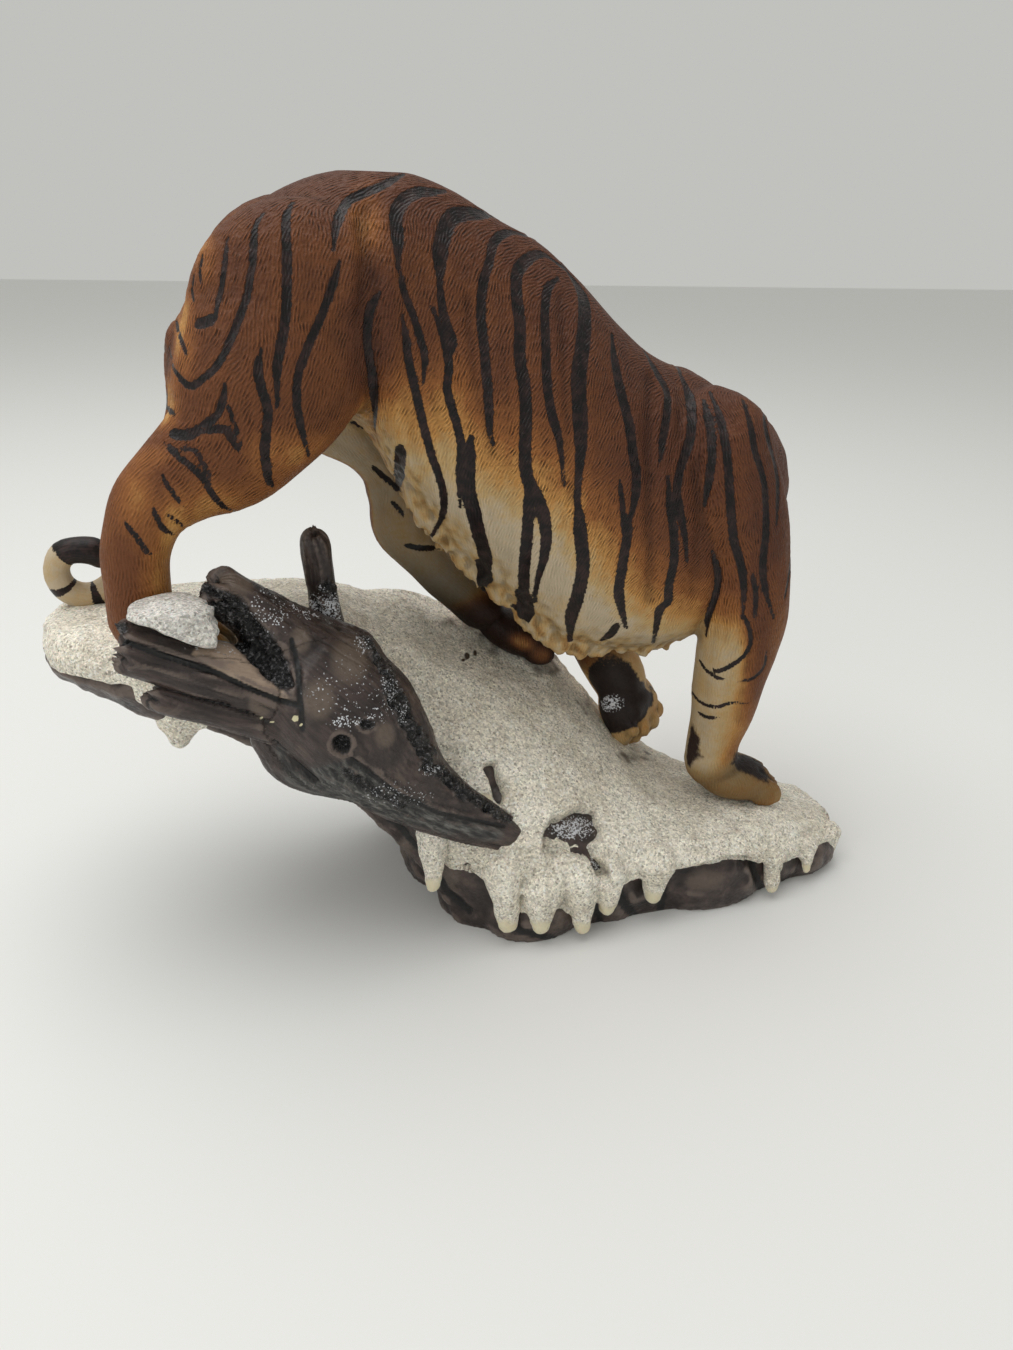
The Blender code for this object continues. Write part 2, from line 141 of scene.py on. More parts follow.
LIMBS = {
    "right_hind": (
        (-62, -15, 210, 18, 28), (-67, -19, 198, 18, 28), (-75, -22, 185, 17, 25), (-85, -25, 173, 14, 20.5),
        (-98, -27, 165, 11.5, 14.5), (-107, -27, 157, 10, 11.5), (-112, -27, 145, 9, 9.5), (-113, -27, 133, 9, 9),
        (-113, -27, 122, 9.5, 9.5),
    ),
    "left_hind": (
        (-62, 15, 208, 18, 28), (-47, 20, 188, 17, 27), (-31, 23, 170, 14, 21), (-24, 24, 155, 11.5, 15),
        (-23, 24, 142, 10, 12.5), (-23, 24, 131, 9.5, 11.5), (-14, 24, 118, 9, 9), (-4, 24, 108, 9, 8.5),
        (7, 24, 98, 9.5, 8.5),
    ),
    "right_fore": (
        (73, -13, 168, 17, 22), (82, -18, 150, 18, 22), (90, -21, 130, 16.5, 18.5), (93, -23, 110, 15, 16.5),
        (93, -23, 94, 13.5, 15), (92, -23, 80, 12.5, 13.5), (90.5, -23, 66, 11.5, 12), (88.5, -23, 54, 10, 10.5),
        (88.5, -23, 45, 10.5, 10.5),
    ),
    "left_fore": (
        (72, 13, 165, 17, 24), (66, 18, 140, 17, 20), (59, 21, 118, 15, 15), (56, 22, 100, 14, 14),
        (56, 22, 86, 13, 13), (60, 22, 74, 12, 12), (66, 20, 63, 12, 11),
    ),
    "tail": (
        (-90, 2, 199, 8.5, 8.5), (-93, 9, 190, 7, 7), (-95, 16, 176, 6, 6), (-101, 21, 161, 5.5, 5.5),
        (-108, 23, 147, 5, 5), (-114, 23, 133, 4.8, 4.8), (-121, 21, 121, 4.6, 4.6), (-130, 19, 115, 4.5, 4.5),
        (-138, 18, 117, 4.4, 4.4), (-141, 17, 124, 4.3, 4.3), (-138, 16, 131, 4.3, 4.3), (-130, 15, 132, 4.6, 4.6),
        (-126, 15, 130, 4.6, 4.6),
    ),
    "neck": (
        (74, 0, 148, 30, 36), (90, 7, 148, 27, 31), (103, 19, 141, 24, 26), (113, 32, 133, 21, 22),
    ),
}
LEGS = ("right_hind", "left_hind", "right_fore", "left_fore")

# Bands round the limbs of the far side and the tail: length along, middle angle, reach of angle, half width, slant

LIMB_BANDS = {
    "left_hind": (
        (30, 90, 80, 1.6, -4), (44, 90, 80, 1.8, -5), (58, 90, 75, 1.8, -5), (72, 95, 70, 1.7, 5),
        (88, 90, 80, 1.4, 4), (101, 90, 70, 1.3, 4), (113, 90, 60, 1.2, 3),
    ),
    "left_fore": (
        (48, 90, 70, 1.6, 4), (60, 90, 80, 1.5, 3), (72, 90, 80, 1.3, -3), (84, 90, 70, 1.3, 3),
    ),
    "tail": (
        (22, 0, 180, 1.8, 0), (36, 0, 180, 1.9, 0.6), (50, 0, 180, 2.0, 0), (64, 0, 180, 1.9, 0.5),
        (77, 0, 180, 1.8, 0), (90, 0, 180, 1.6, 0.4), (101, 0, 180, 1.4, 0), (111.5, 0, 180, 1.2, 0.4),
        (136, 0, 180, 11.0, 0),
    ),
}

# Feet: centre, pitch and turn in degrees, half length, half width, half height, turn about the flat side's normal

PAWS = (
    ((-103, -27, 117), 4, 0, 15, 11.5, 7.5, 0), ((21, 24, 86), 28, 0, 16, 11.5, 7.5, 0),
    ((99, -23, 37), 14, 0, 17, 13.5, 9, 0), ((69.5, 17, 52), 66, -58, 14.5, 15, 9.5, 6),
)
RAISED = PAWS[3]

# Dark sole of the raised foot and dark patches of the near one, as the camera sees them, in pixels

SOLE = (
    588, 668, 598, 652, 618, 650, 632, 660, 642, 680, 655, 692, 655, 703, 647, 714, 637, 726, 621, 733, 606, 737, 592,
    731, 588, 714, 590, 694,
)
RUSSET = (
    (686, 733, 691, 720, 700, 738, 701, 757, 690, 766, 680, 753),
    (734, 752, 749, 750, 762, 761, 769, 772, 769, 784, 757, 778, 742, 774, 732, 764),
)

HEAD_AT = (117, 45, 127)
HEAD_TURN = 62.0
HEAD_DIP = 14.0
MUZZLE = (
    (5, 0, -4, 14, 12), (14, 0, -6, 12, 10), (21, 0, -7, 10.5, 9), (25, 0, -7, 9, 7.5),
)
NOSE_BRIDGE = (
    (2, 0, 10, 9, 7), (13, 0, 6, 6.5, 5), (24, 0, 0, 5, 4),
)
EYE_PLACE = np.array((13.7, 7.6, 4.6))
EYE_SIZE = 3.3
GAZE = np.array((0.90, 0.42, 0.08))

# Belly line that the fringe hangs from: x and z of the lock tips

FRINGE = (
    (-27, 149), (-22, 139), (-15, 131), (-7, 123), (1, 116), (8, 109), (15, 101), (22, 94), (30, 90), (39, 88),
    (48, 87), (57, 87), (66, 86), (74, 90),
)

# Snow over the rock: x, then y and z at the near edge, the middle and the far edge,
# then z of the rock's underside and of the snow's lower edge

GROUND = (
    (-147, 2, 107, 10, 109, 24, 107, 98, 101), (-140, -14, 109, 10, 112, 34, 109, 95, 101),
    (-122, -27, 109, 10, 113, 42, 109, 89, 101), (-100, -33, 110, 10, 113, 45, 109, 83, 101),
    (-78, -30, 111, 10, 113, 46, 109, 68, 100), (-60, -24, 109, 10, 112, 47, 108, 51, 95),
    (-46, -24, 100, 8, 107, 47, 105, 38, 85), (-36, -30, 76, 5, 99, 47, 102, 27, 60),
    (-24, -43, 46, 0, 93, 47, 101, 12, 30), (-12, -50, 44, -2, 84, 47, 97, -8, 27),
    (3, -56, 42, -5, 75, 46, 91, -8, 12), (20, -59, 38, -5, 67, 44, 84, -8, 10),
    (36, -58, 32, -5, 59, 42, 75, -8, 16), (52, -57, 29, -8, 46, 38, 57, -8, 20),
    (70, -57, 27, -10, 34, 33, 36, -8, 21), (88, -56, 26, -15, 30, 29, 23, -8, 20),
    (108, -53, 24, -18, 27, 24, 14, -8, 12), (130, -45, 18, -12, 20, 17, 11, -8, 10),
    (144, -34, 13, -10, 15, 6, 11, -8, 7),
)
UNDERSIDE = 7
SNOW_EDGE = 8
SNOW_DEPTH = 6.0
SNOW_OVERHANG = 2.5

BOULDERS = (
    ((-17, 0, 12), (13, 22, 28)), ((-8, -28, 8), (14, 14, 22)), ((10, -45, 6), (19, 14, 14)),
    ((40, -42, 6), (16, 13, 13)), ((80, -43, 8), (26, 15, 16)), ((124, -34, 6), (17, 14, 10)),
    ((10, 34, 20), (40, 12, 30)),
)

# Log: trunk, upper branch, top, middle and lower splinter, bulge below, twig

BRANCHES = (
    (
        (8, -45, 36, 5, 4.5), (-6, -45, 43, 8.5, 7), (-22, -43, 53, 12, 10), (-36, -41, 65, 17, 15),
        (-50, -37, 83, 24, 22), (-64, -35, 98, 23, 22),
    ),
    (
        (-56, -32, 100, 20, 17), (-71, -34, 114, 15, 12), (-82, -36, 127, 9, 8), (-90, -37, 134, 8, 7),
    ),
    (
        (-84, -43, 112, 7, 4), (-100, -45, 119, 8, 3.5), (-116, -46, 126, 6, 3),
    ),
    (
        (-62, -42, 95, 12, 12), (-80, -45, 104, 9, 8.5), (-98, -47, 112, 7.5, 6.5), (-116, -48, 120, 6, 5),
    ),
    (
        (-64, -42, 86, 9, 7), (-80, -46, 94, 7, 5.5), (-96, -48, 101, 6, 4.5), (-110, -49, 107, 5, 4),
    ),
    (
        (-78, -38, 84, 8, 7), (-70, -38, 75, 12, 9), (-52, -38, 67, 12, 9), (-36, -38, 59, 8, 7),
    ),
    (
        (-55, -14, 100, 6, 6), (-57, -14, 118, 5, 5), (-59, -14, 139, 4.6, 4.6),
    ),
)

# Drips: x y z of the top and of the end, half width; then the hanging wedge and the lump on the splinter

DRIPS = (
    (-27, -42, 42, -28, -48, 25, 6), (-4, -52, 30, -3, -56, 9, 7), (10, -56, 22, 9, -59, 9, 8),
    (23, -57, 24, 24, -60, 6, 7), (34, -56, 24, 34, -58, 11, 7), (53, -55, 24, 52, -57, 12, 7),
    (104, -52, 18, 103, -55, 5, 5), (121, -47, 16, 121, -50, 7, 5), (137, -39, 14, 138, -40, 7, 5),
)
WEDGE = (
    (-103, -26, 106, 7, 16), (-103, -24, 92, 5, 15), (-106, -22, 84, 3.5, 8), (-107, -21, 77, 2.5, 3),
)
BLOCK = (
    (-111, -46, 131, 9, 4.5), (-103, -46, 131, 12, 6), (-94, -44, 126, 11, 6),
)

# Marks of the log as the camera sees them, in pixels. Lines: points, width, depth in mm, darkness.
# Knots: x, y, size, strength. Ovals here and below: x, y, half width, half height, strength.

SPLIT = (
    213, 622, 226, 634, 240, 648, 262, 668, 284, 690, 292, 700, 280, 702, 250, 690, 212, 668, 190, 655,
)
HOLLOW = (
    203, 604, 225, 600, 250, 612, 272, 634, 288, 662, 293, 686, 280, 690, 262, 674, 240, 650, 226, 632, 205, 618,
)
LOW_SIDE = (
    276, 744, 298, 772, 330, 762, 350, 760, 371, 770, 397, 792, 425, 804, 462, 818, 508, 824, 500, 840, 440, 834, 380,
    818, 320, 800, 284, 782,
)
BARK = (
    ((326, 588, 345, 600, 362, 624, 380, 654, 394, 690), 15, 0.4, 1.0),
    ((392, 690, 400, 706, 412, 728, 426, 750), 18, 1.2, 1.0),
    ((426, 764, 450, 780, 474, 798, 505, 816), 15, 0.4, 1.0),
    # The next line blacks the recess beneath the upper branch's end: dark bark, deepened by painted shade
    ((206, 588, 222, 596, 244, 608), 12, 0.8, 1.0),
    ((256, 584, 275, 592, 292, 602), 7, 0.0, 1.0),
    ((345, 772, 372, 790, 404, 806), 8, 0.3, 1.0),
    ((118, 618, 124, 630), 9, 0.3, 1.0),
)
CREVICES = (
    ((150, 606, 190, 640, 206, 652), 3, 0.3, 0.3),
    ((292, 640, 298, 668, 300, 700, 302, 730), 6, 0.8, 0.8),
    ((120, 640, 160, 655, 215, 672, 262, 694, 296, 706), 5, 1.2, 1.0),
    ((140, 660, 190, 674, 240, 693, 280, 716), 3, 0.5, 0.5),
    ((150, 672, 200, 690, 250, 712, 285, 735), 3, 0.4, 0.4),
    ((274, 742, 284, 752, 296, 764, 316, 781), 2.5, 1.1, 0.55),
    # The next line is a raised ridge, lightened through its hollowness value as a painted highlight
    ((350, 753, 371, 766, 397, 787, 430, 803), 1.5, -0.6, 0.0),
    ((352, 760, 372, 776, 400, 796, 440, 814, 505, 826), 4, 0.9, 0.9),
    ((330, 770, 372, 795, 420, 812), 4, 0.6, 0.6),
    ((385, 775, 420, 800, 470, 812), 3, 0.6, 0.6),
    ((305, 590, 322, 612, 340, 628), 5, 0.7, 0.6),
    ((312, 545, 316, 570, 318, 598), 3, 0.5, 0.5),
)
KNOTS = ((342, 744, 11, 1.0), (367, 725, 7.5, 0.5))
LOG_TAUPE = (
    (350, 660, 32.0, 40, 0.8), (300, 640, 17.6, 22, 0.8), (385, 735, 17.6, 22, 0.8), (240, 575, 27.2, 34, 0.8),
    (225, 585, 19.2, 24, 0.8), (318, 700, 27.2, 34, 0.8), (260, 705, 19.2, 24, 0.8),
)
LOG_FROST = (
    (312, 606, 26, 14, 0.8), (334, 608, 15, 17, 1.0), (352, 620, 10, 8, 0.6), (322, 590, 6, 8, 0.5),
    (345, 722, 22, 9, 0.5), (404, 712, 7, 16, 0.5), (375, 716, 16, 12, 0.35), (430, 770, 14, 7, 0.4),
    (362, 640, 10, 20, 0.4), (390, 690, 12, 30, 0.4), (215, 640, 40, 24, 0.25), (345, 690, 60, 50, 0.16),
    (400, 795, 50, 16, 0.22), (270, 610, 30, 30, 0.3),
)
LOG_CREAM = (
    (295, 719, 4.2, 4.2, 1.0), (300, 725, 2.4, 2.4, 1.0), (272, 722, 2.0, 2.0, 1.0), (262, 718, 1.6, 1.6, 1.0),
)

# Marks of the rocks

ROCK_CREVICES = (
    ((618, 880, 622, 900, 634, 915), 7, 1.6, 1.0), ((655, 862, 664, 885, 660, 912), 7, 1.6, 1.0),
    ((752, 862, 760, 885, 764, 905), 6, 1.2, 1.0), ((430, 862, 446, 892, 470, 912), 6, 1.2, 1.0),
    ((400, 830, 430, 862), 5, 1.0, 1.0), ((500, 905, 520, 932, 560, 940), 5, 1.0, 1.0),
    ((588, 880, 596, 908, 602, 928), 5, 1.2, 1.0), ((385, 818, 405, 832), 4, 0.8, 1.0),
    ((665, 858, 700, 848, 745, 852), 4, 1.0, 1.0),
)
ROCK_TAUPE = (
    (704, 880, 30, 18, 0.7), (450, 878, 16, 22, 0.7), (405, 850, 14, 18, 0.7),
)
ROCK_FROST = (
    (572, 828, 26, 13, 0.9), (600, 862, 12, 14, 0.9), (425, 850, 6, 14, 0.9), (690, 862, 18, 4, 0.9),
)

# Outlines and marks of the snow

SNOW_SEEN = (
    225, 585, 300, 582, 430, 590, 560, 640, 600, 690, 655, 735, 700, 752, 770, 745, 812, 780, 834, 840, 828, 852, 818,
    880, 805, 872, 795, 862, 780, 868, 778, 900, 768, 912, 760, 900, 758, 874, 748, 857, 728, 856, 712, 862, 690, 868,
    668, 872, 664, 890, 650, 903, 634, 906, 620, 884, 606, 903, 596, 906, 588, 886, 582, 905, 578, 936, 566, 944, 556,
    925, 543, 920, 530, 928, 514, 930, 506, 914, 500, 930, 494, 908, 478, 880, 468, 864, 454, 868, 440, 888, 430, 880,
    428, 852, 420, 832, 500, 835, 515, 815, 480, 800, 440, 765, 400, 712, 380, 680, 345, 625,
)
SNOW_HOLES = (
    (546, 826, 556, 813, 572, 812, 582, 806, 602, 808, 606, 826, 600, 842, 604, 860, 612, 884, 604, 882, 592, 860,
        576, 856, 556, 862, 543, 852),
    (484, 766, 494, 763, 500, 775, 506, 790, 500, 806, 493, 795, 488, 780),
    (782, 862, 790, 866, 800, 884, 790, 890, 784, 880),
)
SNOW_CREAM = (
    (394, 690, 6, 12, 1.0), (430, 755, 8, 6, 1.0), (484, 800, 10, 8, 1.0), (640, 898, 12, 7, 1.0),
)
SPECKS = (
    (467, 656, 4, 5, 1.0), (475, 653, 2.5, 4, 1.0), (463, 660, 3, 2, 1.0),
)
# Dark patches on the snow: painted shadows under the far hind foot and the raised foot, mixed with dirt
SMUDGES_AND_SHADOWS = (
    (505, 642, 62, 24, 0.75), (548, 662, 30, 20, 0.85), (478, 624, 56, 12, 0.75), (632, 757, 34, 13, 0.75),
    (583, 702, 11, 28, 0.7), (820, 860, 10, 14, 0.6),
)
BLOCK_SEEN = (
    118, 611, 126, 596, 142, 590, 202, 590, 209, 598, 204, 604, 214, 606, 207, 618, 215, 630, 217, 649, 200, 649, 176,
    641, 150, 628, 128, 620,
)

# Stripes of the near side as the camera sees them: full width, then x y pairs, all in pixels.
# Those of the trunk are repeated on the far side.

TRUNK_STRIPES = (
    (6, (228, 237, 222, 285, 218, 302, 215, 316)),
    (12, (196, 324, 206, 322, 216, 316)),
    (8, (265, 211, 255, 228, 252, 268, 245, 302, 235, 329, 225, 352, 214, 369, 200, 381, 189, 386, 174, 369, 169,
        346)),
    (10, (293, 202, 286, 220, 287, 255, 287, 281, 286, 310, 283, 335, 278, 361, 277, 382, 278, 407)),
    (10, (404, 174, 381, 186, 362, 194, 346, 203, 337, 224, 333, 249)),
    (9, (340, 260, 334, 281, 324, 310, 313, 335, 302, 363, 297, 382, 298, 411, 304, 438, 309, 456)),
    (10, (262, 348, 258, 369, 262, 390, 268, 411, 266, 434, 265, 453, 269, 480, 274, 487)),
    (10, (380, 293, 370, 310, 367, 340, 371, 369, 374, 394, 375, 432)),
    (14, (445, 191, 419, 192, 404, 200, 396, 215, 398, 241, 398, 267)),
    (8, (398, 262, 404, 291, 413, 315, 420, 337, 425, 358, 423, 384)),
    (9, (402, 315, 406, 337, 409, 363, 416, 393, 423, 423, 431, 454, 439, 477, 444, 499, 441, 519, 431, 537)),
    (17, (495, 215, 471, 213, 452, 217, 443, 237, 440, 259, 440, 285)),
    (9, (440, 280, 443, 311, 452, 337, 456, 354)),
    (9, (431, 306, 443, 334, 449, 367, 447, 389, 454, 415, 461, 445, 459, 479, 460, 507)),
    (16, (471, 438, 468, 460, 468, 489, 474, 515, 480, 539, 486, 562, 484, 588)),
    (10, (530, 237, 510, 232, 495, 241, 489, 263, 483, 285, 481, 315, 484, 345, 487, 380, 489, 410, 490, 432, 493,
        445)),
    (13, (562, 267, 543, 254, 528, 259, 517, 274, 517, 298, 520, 324, 520, 358, 525, 389, 526, 421, 525, 454, 528,
        480, 540, 503, 546, 531, 544, 558, 538, 578, 534, 602)),
    (12, (528, 479, 529, 509, 526, 547, 524, 570, 524, 598, 525, 620)),
    (10, (558, 278, 548, 289, 545, 315, 546, 345, 547, 378, 551, 410, 560, 443, 564, 485)),
    (17, (564, 267, 582, 293, 585, 315, 583, 345, 579, 378, 580, 410, 581, 443, 577, 499)),
    (14, (577, 495, 581, 539, 583, 570, 577, 598, 571, 618, 570, 640)),
    (12, (612, 335, 615, 361, 621, 392, 629, 422, 633, 451, 637, 476, 635, 500, 630, 520)),
    (11, (630, 515, 626, 545, 622, 569, 619, 594, 626, 628)),
    (6, (620, 480, 623, 512, 624, 540)),
    (10, (645, 352, 656, 371, 667, 392, 667, 414, 663, 439, 660, 461)),
    (10, (668, 476, 670, 504, 674, 535, 674, 561, 669, 586, 668, 602, 660, 609, 657, 624, 653, 643)),
    (10, (677, 367, 688, 392, 692, 414, 690, 439, 682, 463, 677, 488, 680, 512, 685, 535, 687, 561)),
    (9, (704, 400, 710, 427, 712, 455, 709, 480, 704, 506)),
    (9, (710, 392, 720, 418, 726, 447, 729, 480, 731, 512, 734, 541, 741, 565, 744, 590, 742, 618)),
    (9, (743, 400, 751, 427, 755, 451, 763, 476, 766, 504, 766, 533, 763, 565, 766, 592, 774, 618)),
    (8, (763, 412, 768, 439, 775, 463, 778, 488, 777, 525)),
    (8, (788, 484, 790, 530, 791, 560, 785, 598)),
    (4, (203, 254, 200, 270, 201, 285)),
    (4, (194, 274, 192, 290, 194, 302)),
    (6, (176, 321, 180, 337, 187, 356)),
    (6, (159, 398, 167, 407, 175, 416)),
)
LEG_STRIPES = (
    (12, (171, 433, 185, 435, 201, 430)),
    (8, (198, 426, 215, 418, 222, 403, 225, 383)),
    (8, (200, 432, 224, 429, 230, 437, 241, 454)),
    (5, (227, 403, 233, 420, 242, 444)),
    (7, (164, 442, 171, 449, 180, 458, 192, 467, 201, 476, 208, 487, 215, 498, 224, 507, 236, 512)),
    (5, (176, 449, 194, 450, 203, 463, 208, 472, 210, 483)),
    (5, (161, 472, 165, 481, 171, 490, 177, 499, 183, 507)),
    (6, (152, 505, 157, 518, 163, 528, 174, 535)),
    (4, (167, 513, 175, 520, 186, 528)),
    (6, (124, 521, 132, 532, 140, 542, 146, 551, 153, 555)),
    (7, (712, 551, 718, 574, 716, 594, 708, 618, 706, 636)),
    (6, (752, 574, 756, 594, 755, 620)),
    (5, (742, 610, 751, 637, 743, 657, 720, 671, 712, 668)),
    (4, (698, 658, 706, 670, 716, 677, 726, 680)),
    (4, (689, 687, 696, 698, 706, 705, 719, 707, 730, 703, 749, 703)),
    (4, (698, 712, 706, 717, 719, 718)),
    (4, (767, 651, 764, 667, 752, 679, 738, 681)),
    (14, (401, 446, 399, 468, 397, 489)),
    (17, (480, 562, 485, 574, 483, 588)),
    (19, (522, 592, 525, 604, 526, 620)),
    (10, (617, 624, 611, 634, 602, 641)),
    (7, (372, 466, 384, 477, 401, 491)),
    (5, (391, 501, 398, 508, 405, 517)),
    (6, (405, 545, 420, 548, 439, 548)),
)

# Stripes of the head, in its own frame (x forward, z up), drawn on both sides: half width, then points

HEAD_STRIPES = (
    (0.9, ((4, 3, 17), (-2, 4, 19), (-8, 5, 18))),
    (0.9, ((8, 2, 14), (5, 6, 14), (-1, 9, 16), (-6, 10, 15))),
    (0.8, ((11, 0.5, 12.5), (10, 4, 13), (7, 8, 14))),
    (0.8, ((12, 9, 8), (8, 13, 10), (2, 15, 12))),
    (0.9, ((10, 13, 1), (3, 18, 3), (-4, 21, 5))),
    (0.9, ((8, 16, -3), (2, 21, -3), (-6, 22, -2))),
    (1.0, ((9, 15, -9), (3, 20, -11), (-4, 21, -14))),
    (0.9, ((6, 14, -15), (0, 17, -18), (-7, 18, -19))),
    (0.8, ((-6, 2, 19), (-12, 3, 17), (-17, 3, 13))),
    (0.9, ((-9, 8, 17), (-14, 9, 13), (-18, 9, 8))),
    (0.45, ((33, 0, -4), (33, 0, -8), (32, 0, -11))),
    (0.5, ((32, 0.5, -11), (29, 4, -13), (24, 9, -13.5), (17, 13, -13.5))),
    (0.4, ((30, 6, -6), (27, 8.5, -6))),
    (0.4, ((30, 6, -8.5), (27, 9, -8.5))),
)


def spline(rows, steps):
    """Even curve through the rows, with in-between rows on each stretch."""
    rows = [np.array(row, float) for row in rows]
    ends = [2 * rows[0] - rows[1]] + rows + [2 * rows[-1] - rows[-2]]
    out = []
    for index in range(1, len(ends) - 2):
        p0, p1, p2, p3 = ends[index - 1:index + 3]
        for step in range(steps):
            t = step / steps
            out.append(0.5 * (2 * p1 + (p2 - p0) * t + (2 * p0 - 5 * p1 + 4 * p2 - p3) * t * t
                              + (3 * p1 - p0 - 3 * p2 + p3) * t ** 3))
    out.append(rows[-1])
    return out


# Numbers over points: noise, distances and blends

def hashed(i, j, k, seed):
    n = (i * 374761393 + j * 668265263 + k * 1442695041 + seed * 974634777) & 0xffffffff
    n = ((n ^ (n >> 13)) * 1274126177) & 0xffffffff
    n = n ^ (n >> 16)
    return (n & 0xffff) / 32767.5 - 1.0


def noise(points, size, seed):
    """Smooth noise from -1 to 1 whose lumps are about size across."""
    grid = points / size
    cell = np.floor(grid).astype(np.int64)
    part = grid - cell
    part = part * part * (3 - 2 * part)
    total = 0.0
    for corner in np.ndindex(2, 2, 2):
        weight = np.where(corner, part, 1 - part).prod(1)
        total = total + weight * hashed(*(cell + corner).T, seed)
    return total


def ramp(value, low, high):
    """Smooth step from 0 at low to 1 at high."""
    t = np.clip((value - low) / (high - low), 0, 1)
    return t * t * (3 - 2 * t)


def off(points, centre, radii=1.0):
    """Distance of each point from a centre, in shares of the radii."""
    return np.linalg.norm((points - np.array(centre)) / radii, axis=1)


def off_segment(points, a, b):
    """How far along a segment the nearest place to each point is, as a share, and the distance to it."""
    step = b - a
    t = np.clip(((points - a) @ step) / max(step @ step, 1e-9), 0, 1)
    return t, np.linalg.norm(points - (a + t[:, None] * step), axis=1)


def track(points, stations):
    """Nearest place on a limb: distance, length along it, centre, direction and mean radius there."""
    rows = np.array(spline(stations, 6))
    mid = rows[:, :3]
    run = np.concatenate(([0], np.cumsum(np.linalg.norm(np.diff(mid, axis=0), axis=1))))
    count = len(points)
    found = {"gap": np.full(count, 1e9), "along": np.zeros(count), "centre": np.zeros((count, 3)),
             "ahead": np.zeros((count, 3)), "radius": np.ones(count), "length": run[-1]}
    for n in range(len(mid) - 1):
        step = mid[n + 1] - mid[n]
        t, gap = off_segment(points, mid[n], mid[n + 1])
        closer = gap < found["gap"]
        here = {"gap": gap, "along": run[n] + t * (run[n + 1] - run[n]), "centre": mid[n] + t[:, None] * step,
                "radius": rows[n, 3:5].mean() * (1 - t) + rows[n + 1, 3:5].mean() * t}
        for name, values in here.items():
            found[name][closer] = values[closer]
        found["ahead"][closer] = step / np.linalg.norm(step)
    return found


def around(points, place, up=(0.0, 0.0, 1.0)):
    """Angle about a limb, 0 along up."""
    out = points - place["centre"]
    ahead = place["ahead"]
    top = np.array(up) - ahead * (ahead @ np.array(up))[:, None]
    top /= np.maximum(np.linalg.norm(top, axis=1), 1e-6)[:, None]
    side = np.cross(ahead, top)
    return np.arctan2((out * side).sum(1), (out * top).sum(1))


def in_trunk(points):
    """Section of the trunk (0 rump, 12 chest), height in it (0 belly, 1 spine) and reach (1 on its skin)."""
    best = np.full(len(points), 1e9)
    section, height, reach = np.zeros(len(points)), np.zeros(len(points)), np.ones(len(points))
    flat = points[:, (0, 2)]
    for n, row in enumerate(spline(TRUNK, 6)):
        top, low = row[0:2], row[2:4]
        rise = top - low
        t = ((flat - low) @ rise) / (rise @ rise)
        gap = np.linalg.norm(flat - low - np.clip(t, -0.3, 1.3)[:, None] * rise, axis=1)
        closer = gap < best
        best[closer] = gap[closer]
        section[closer] = n / 6
        height[closer] = t[closer]
        reach[closer] = np.hypot(points[:, 1] / row[4], 2 * t - 1)[closer]
    return section, height, reach


def nearest_lines(points, lines):
    """Depth inside the nearest line, in mm, positive inside. A line is its points and their half widths."""
    best = np.full(len(points), -FAR_OFF)
    for path, wide in lines:
        near = np.flatnonzero(((points > path.min(0) - FAR_OFF) & (points < path.max(0) + FAR_OFF)).all(1))
        if not len(near):
            continue
        here = points[near]
        found = best[near]
        for a, b, wa, wb in zip(path, path[1:], wide, wide[1:]):
            t, gap = off_segment(here, a, b)
            found = np.maximum(found, wa + (wb - wa) * t - gap)
        best[near] = found
    return best


def taper(count):
    """Widths of a brush stroke along its length, as shares of the full width."""
    t = np.linspace(0, 1, count)
    return np.clip(np.minimum(t / 0.14, (1 - t) / 0.22), 0.25, 1) ** 0.6


# The photograph's camera

turn_a, turn_p, turn_r = (math.radians(v) for v in (HEADING, DIP, ROLL))
level = np.array((math.sin(turn_a), math.cos(turn_a), 0.0))
across = np.array((math.cos(turn_a), -math.sin(turn_a), 0.0))
up = np.array((0, 0, 1.0))
AHEAD = math.cos(turn_p) * level - math.sin(turn_p) * up
down = -math.sin(turn_p) * level - math.cos(turn_p) * up
RIGHT = math.cos(turn_r) * across - math.sin(turn_r) * down
DOWN = math.sin(turn_r) * across + math.cos(turn_r) * down


def seen(points):
    """Pixel place of each point in the photograph's frame."""
    away = points - EYE
    return MIDDLE + FOCUS * np.stack((away @ RIGHT, away @ DOWN), 1) / (away @ AHEAD)[:, None]


def facing(normals, low=0.0, high=0.3):
    """1 where the skin faces the camera, 0 where it faces away."""
    return ramp(-normals @ AHEAD, low, high)


def flat_line(pixels, path, wide):
    """Depth in pixels inside a drawn line, positive inside."""
    path = np.array(path, float).reshape(-1, 2)
    return wide / 2 - np.minimum.reduce([off_segment(pixels, a, b)[1] for a, b in zip(path, path[1:])])


def flat_field(pixels, outline):
    """Depth in pixels inside a drawn outline, positive inside."""
    shape = np.array(outline, float).reshape(-1, 2)
    inside = np.zeros(len(pixels), bool)
    edge = np.full(len(pixels), 1e9)
    for a, b in zip(shape, np.roll(shape, -1, axis=0)):
        edge = np.minimum(edge, off_segment(pixels, a, b)[1])
        cross = (a[1] > pixels[:, 1]) != (b[1] > pixels[:, 1])
        with np.errstate(divide="ignore", invalid="ignore"):
            hit = pixels[:, 0] < (b[0] - a[0]) * (pixels[:, 1] - a[1]) / (b[1] - a[1]) + a[0]
        inside ^= cross & hit
    return np.where(inside, edge, -edge)


def oval(pixels, x, y, wide, high, outer, inner):
    """0 outside an oval, 1 deep in it; outer and inner are the shares of its size between which it blends."""
    return ramp(-off(pixels, (x, y), (wide, high)), -outer, -inner)


def ovals(pixels, rows, outer, inner):
    """Strongest of some ovals: x, y, half width, half height, strength."""
    return np.maximum.reduce([row[4] * oval(pixels, *row[:4], outer, inner) for row in rows])


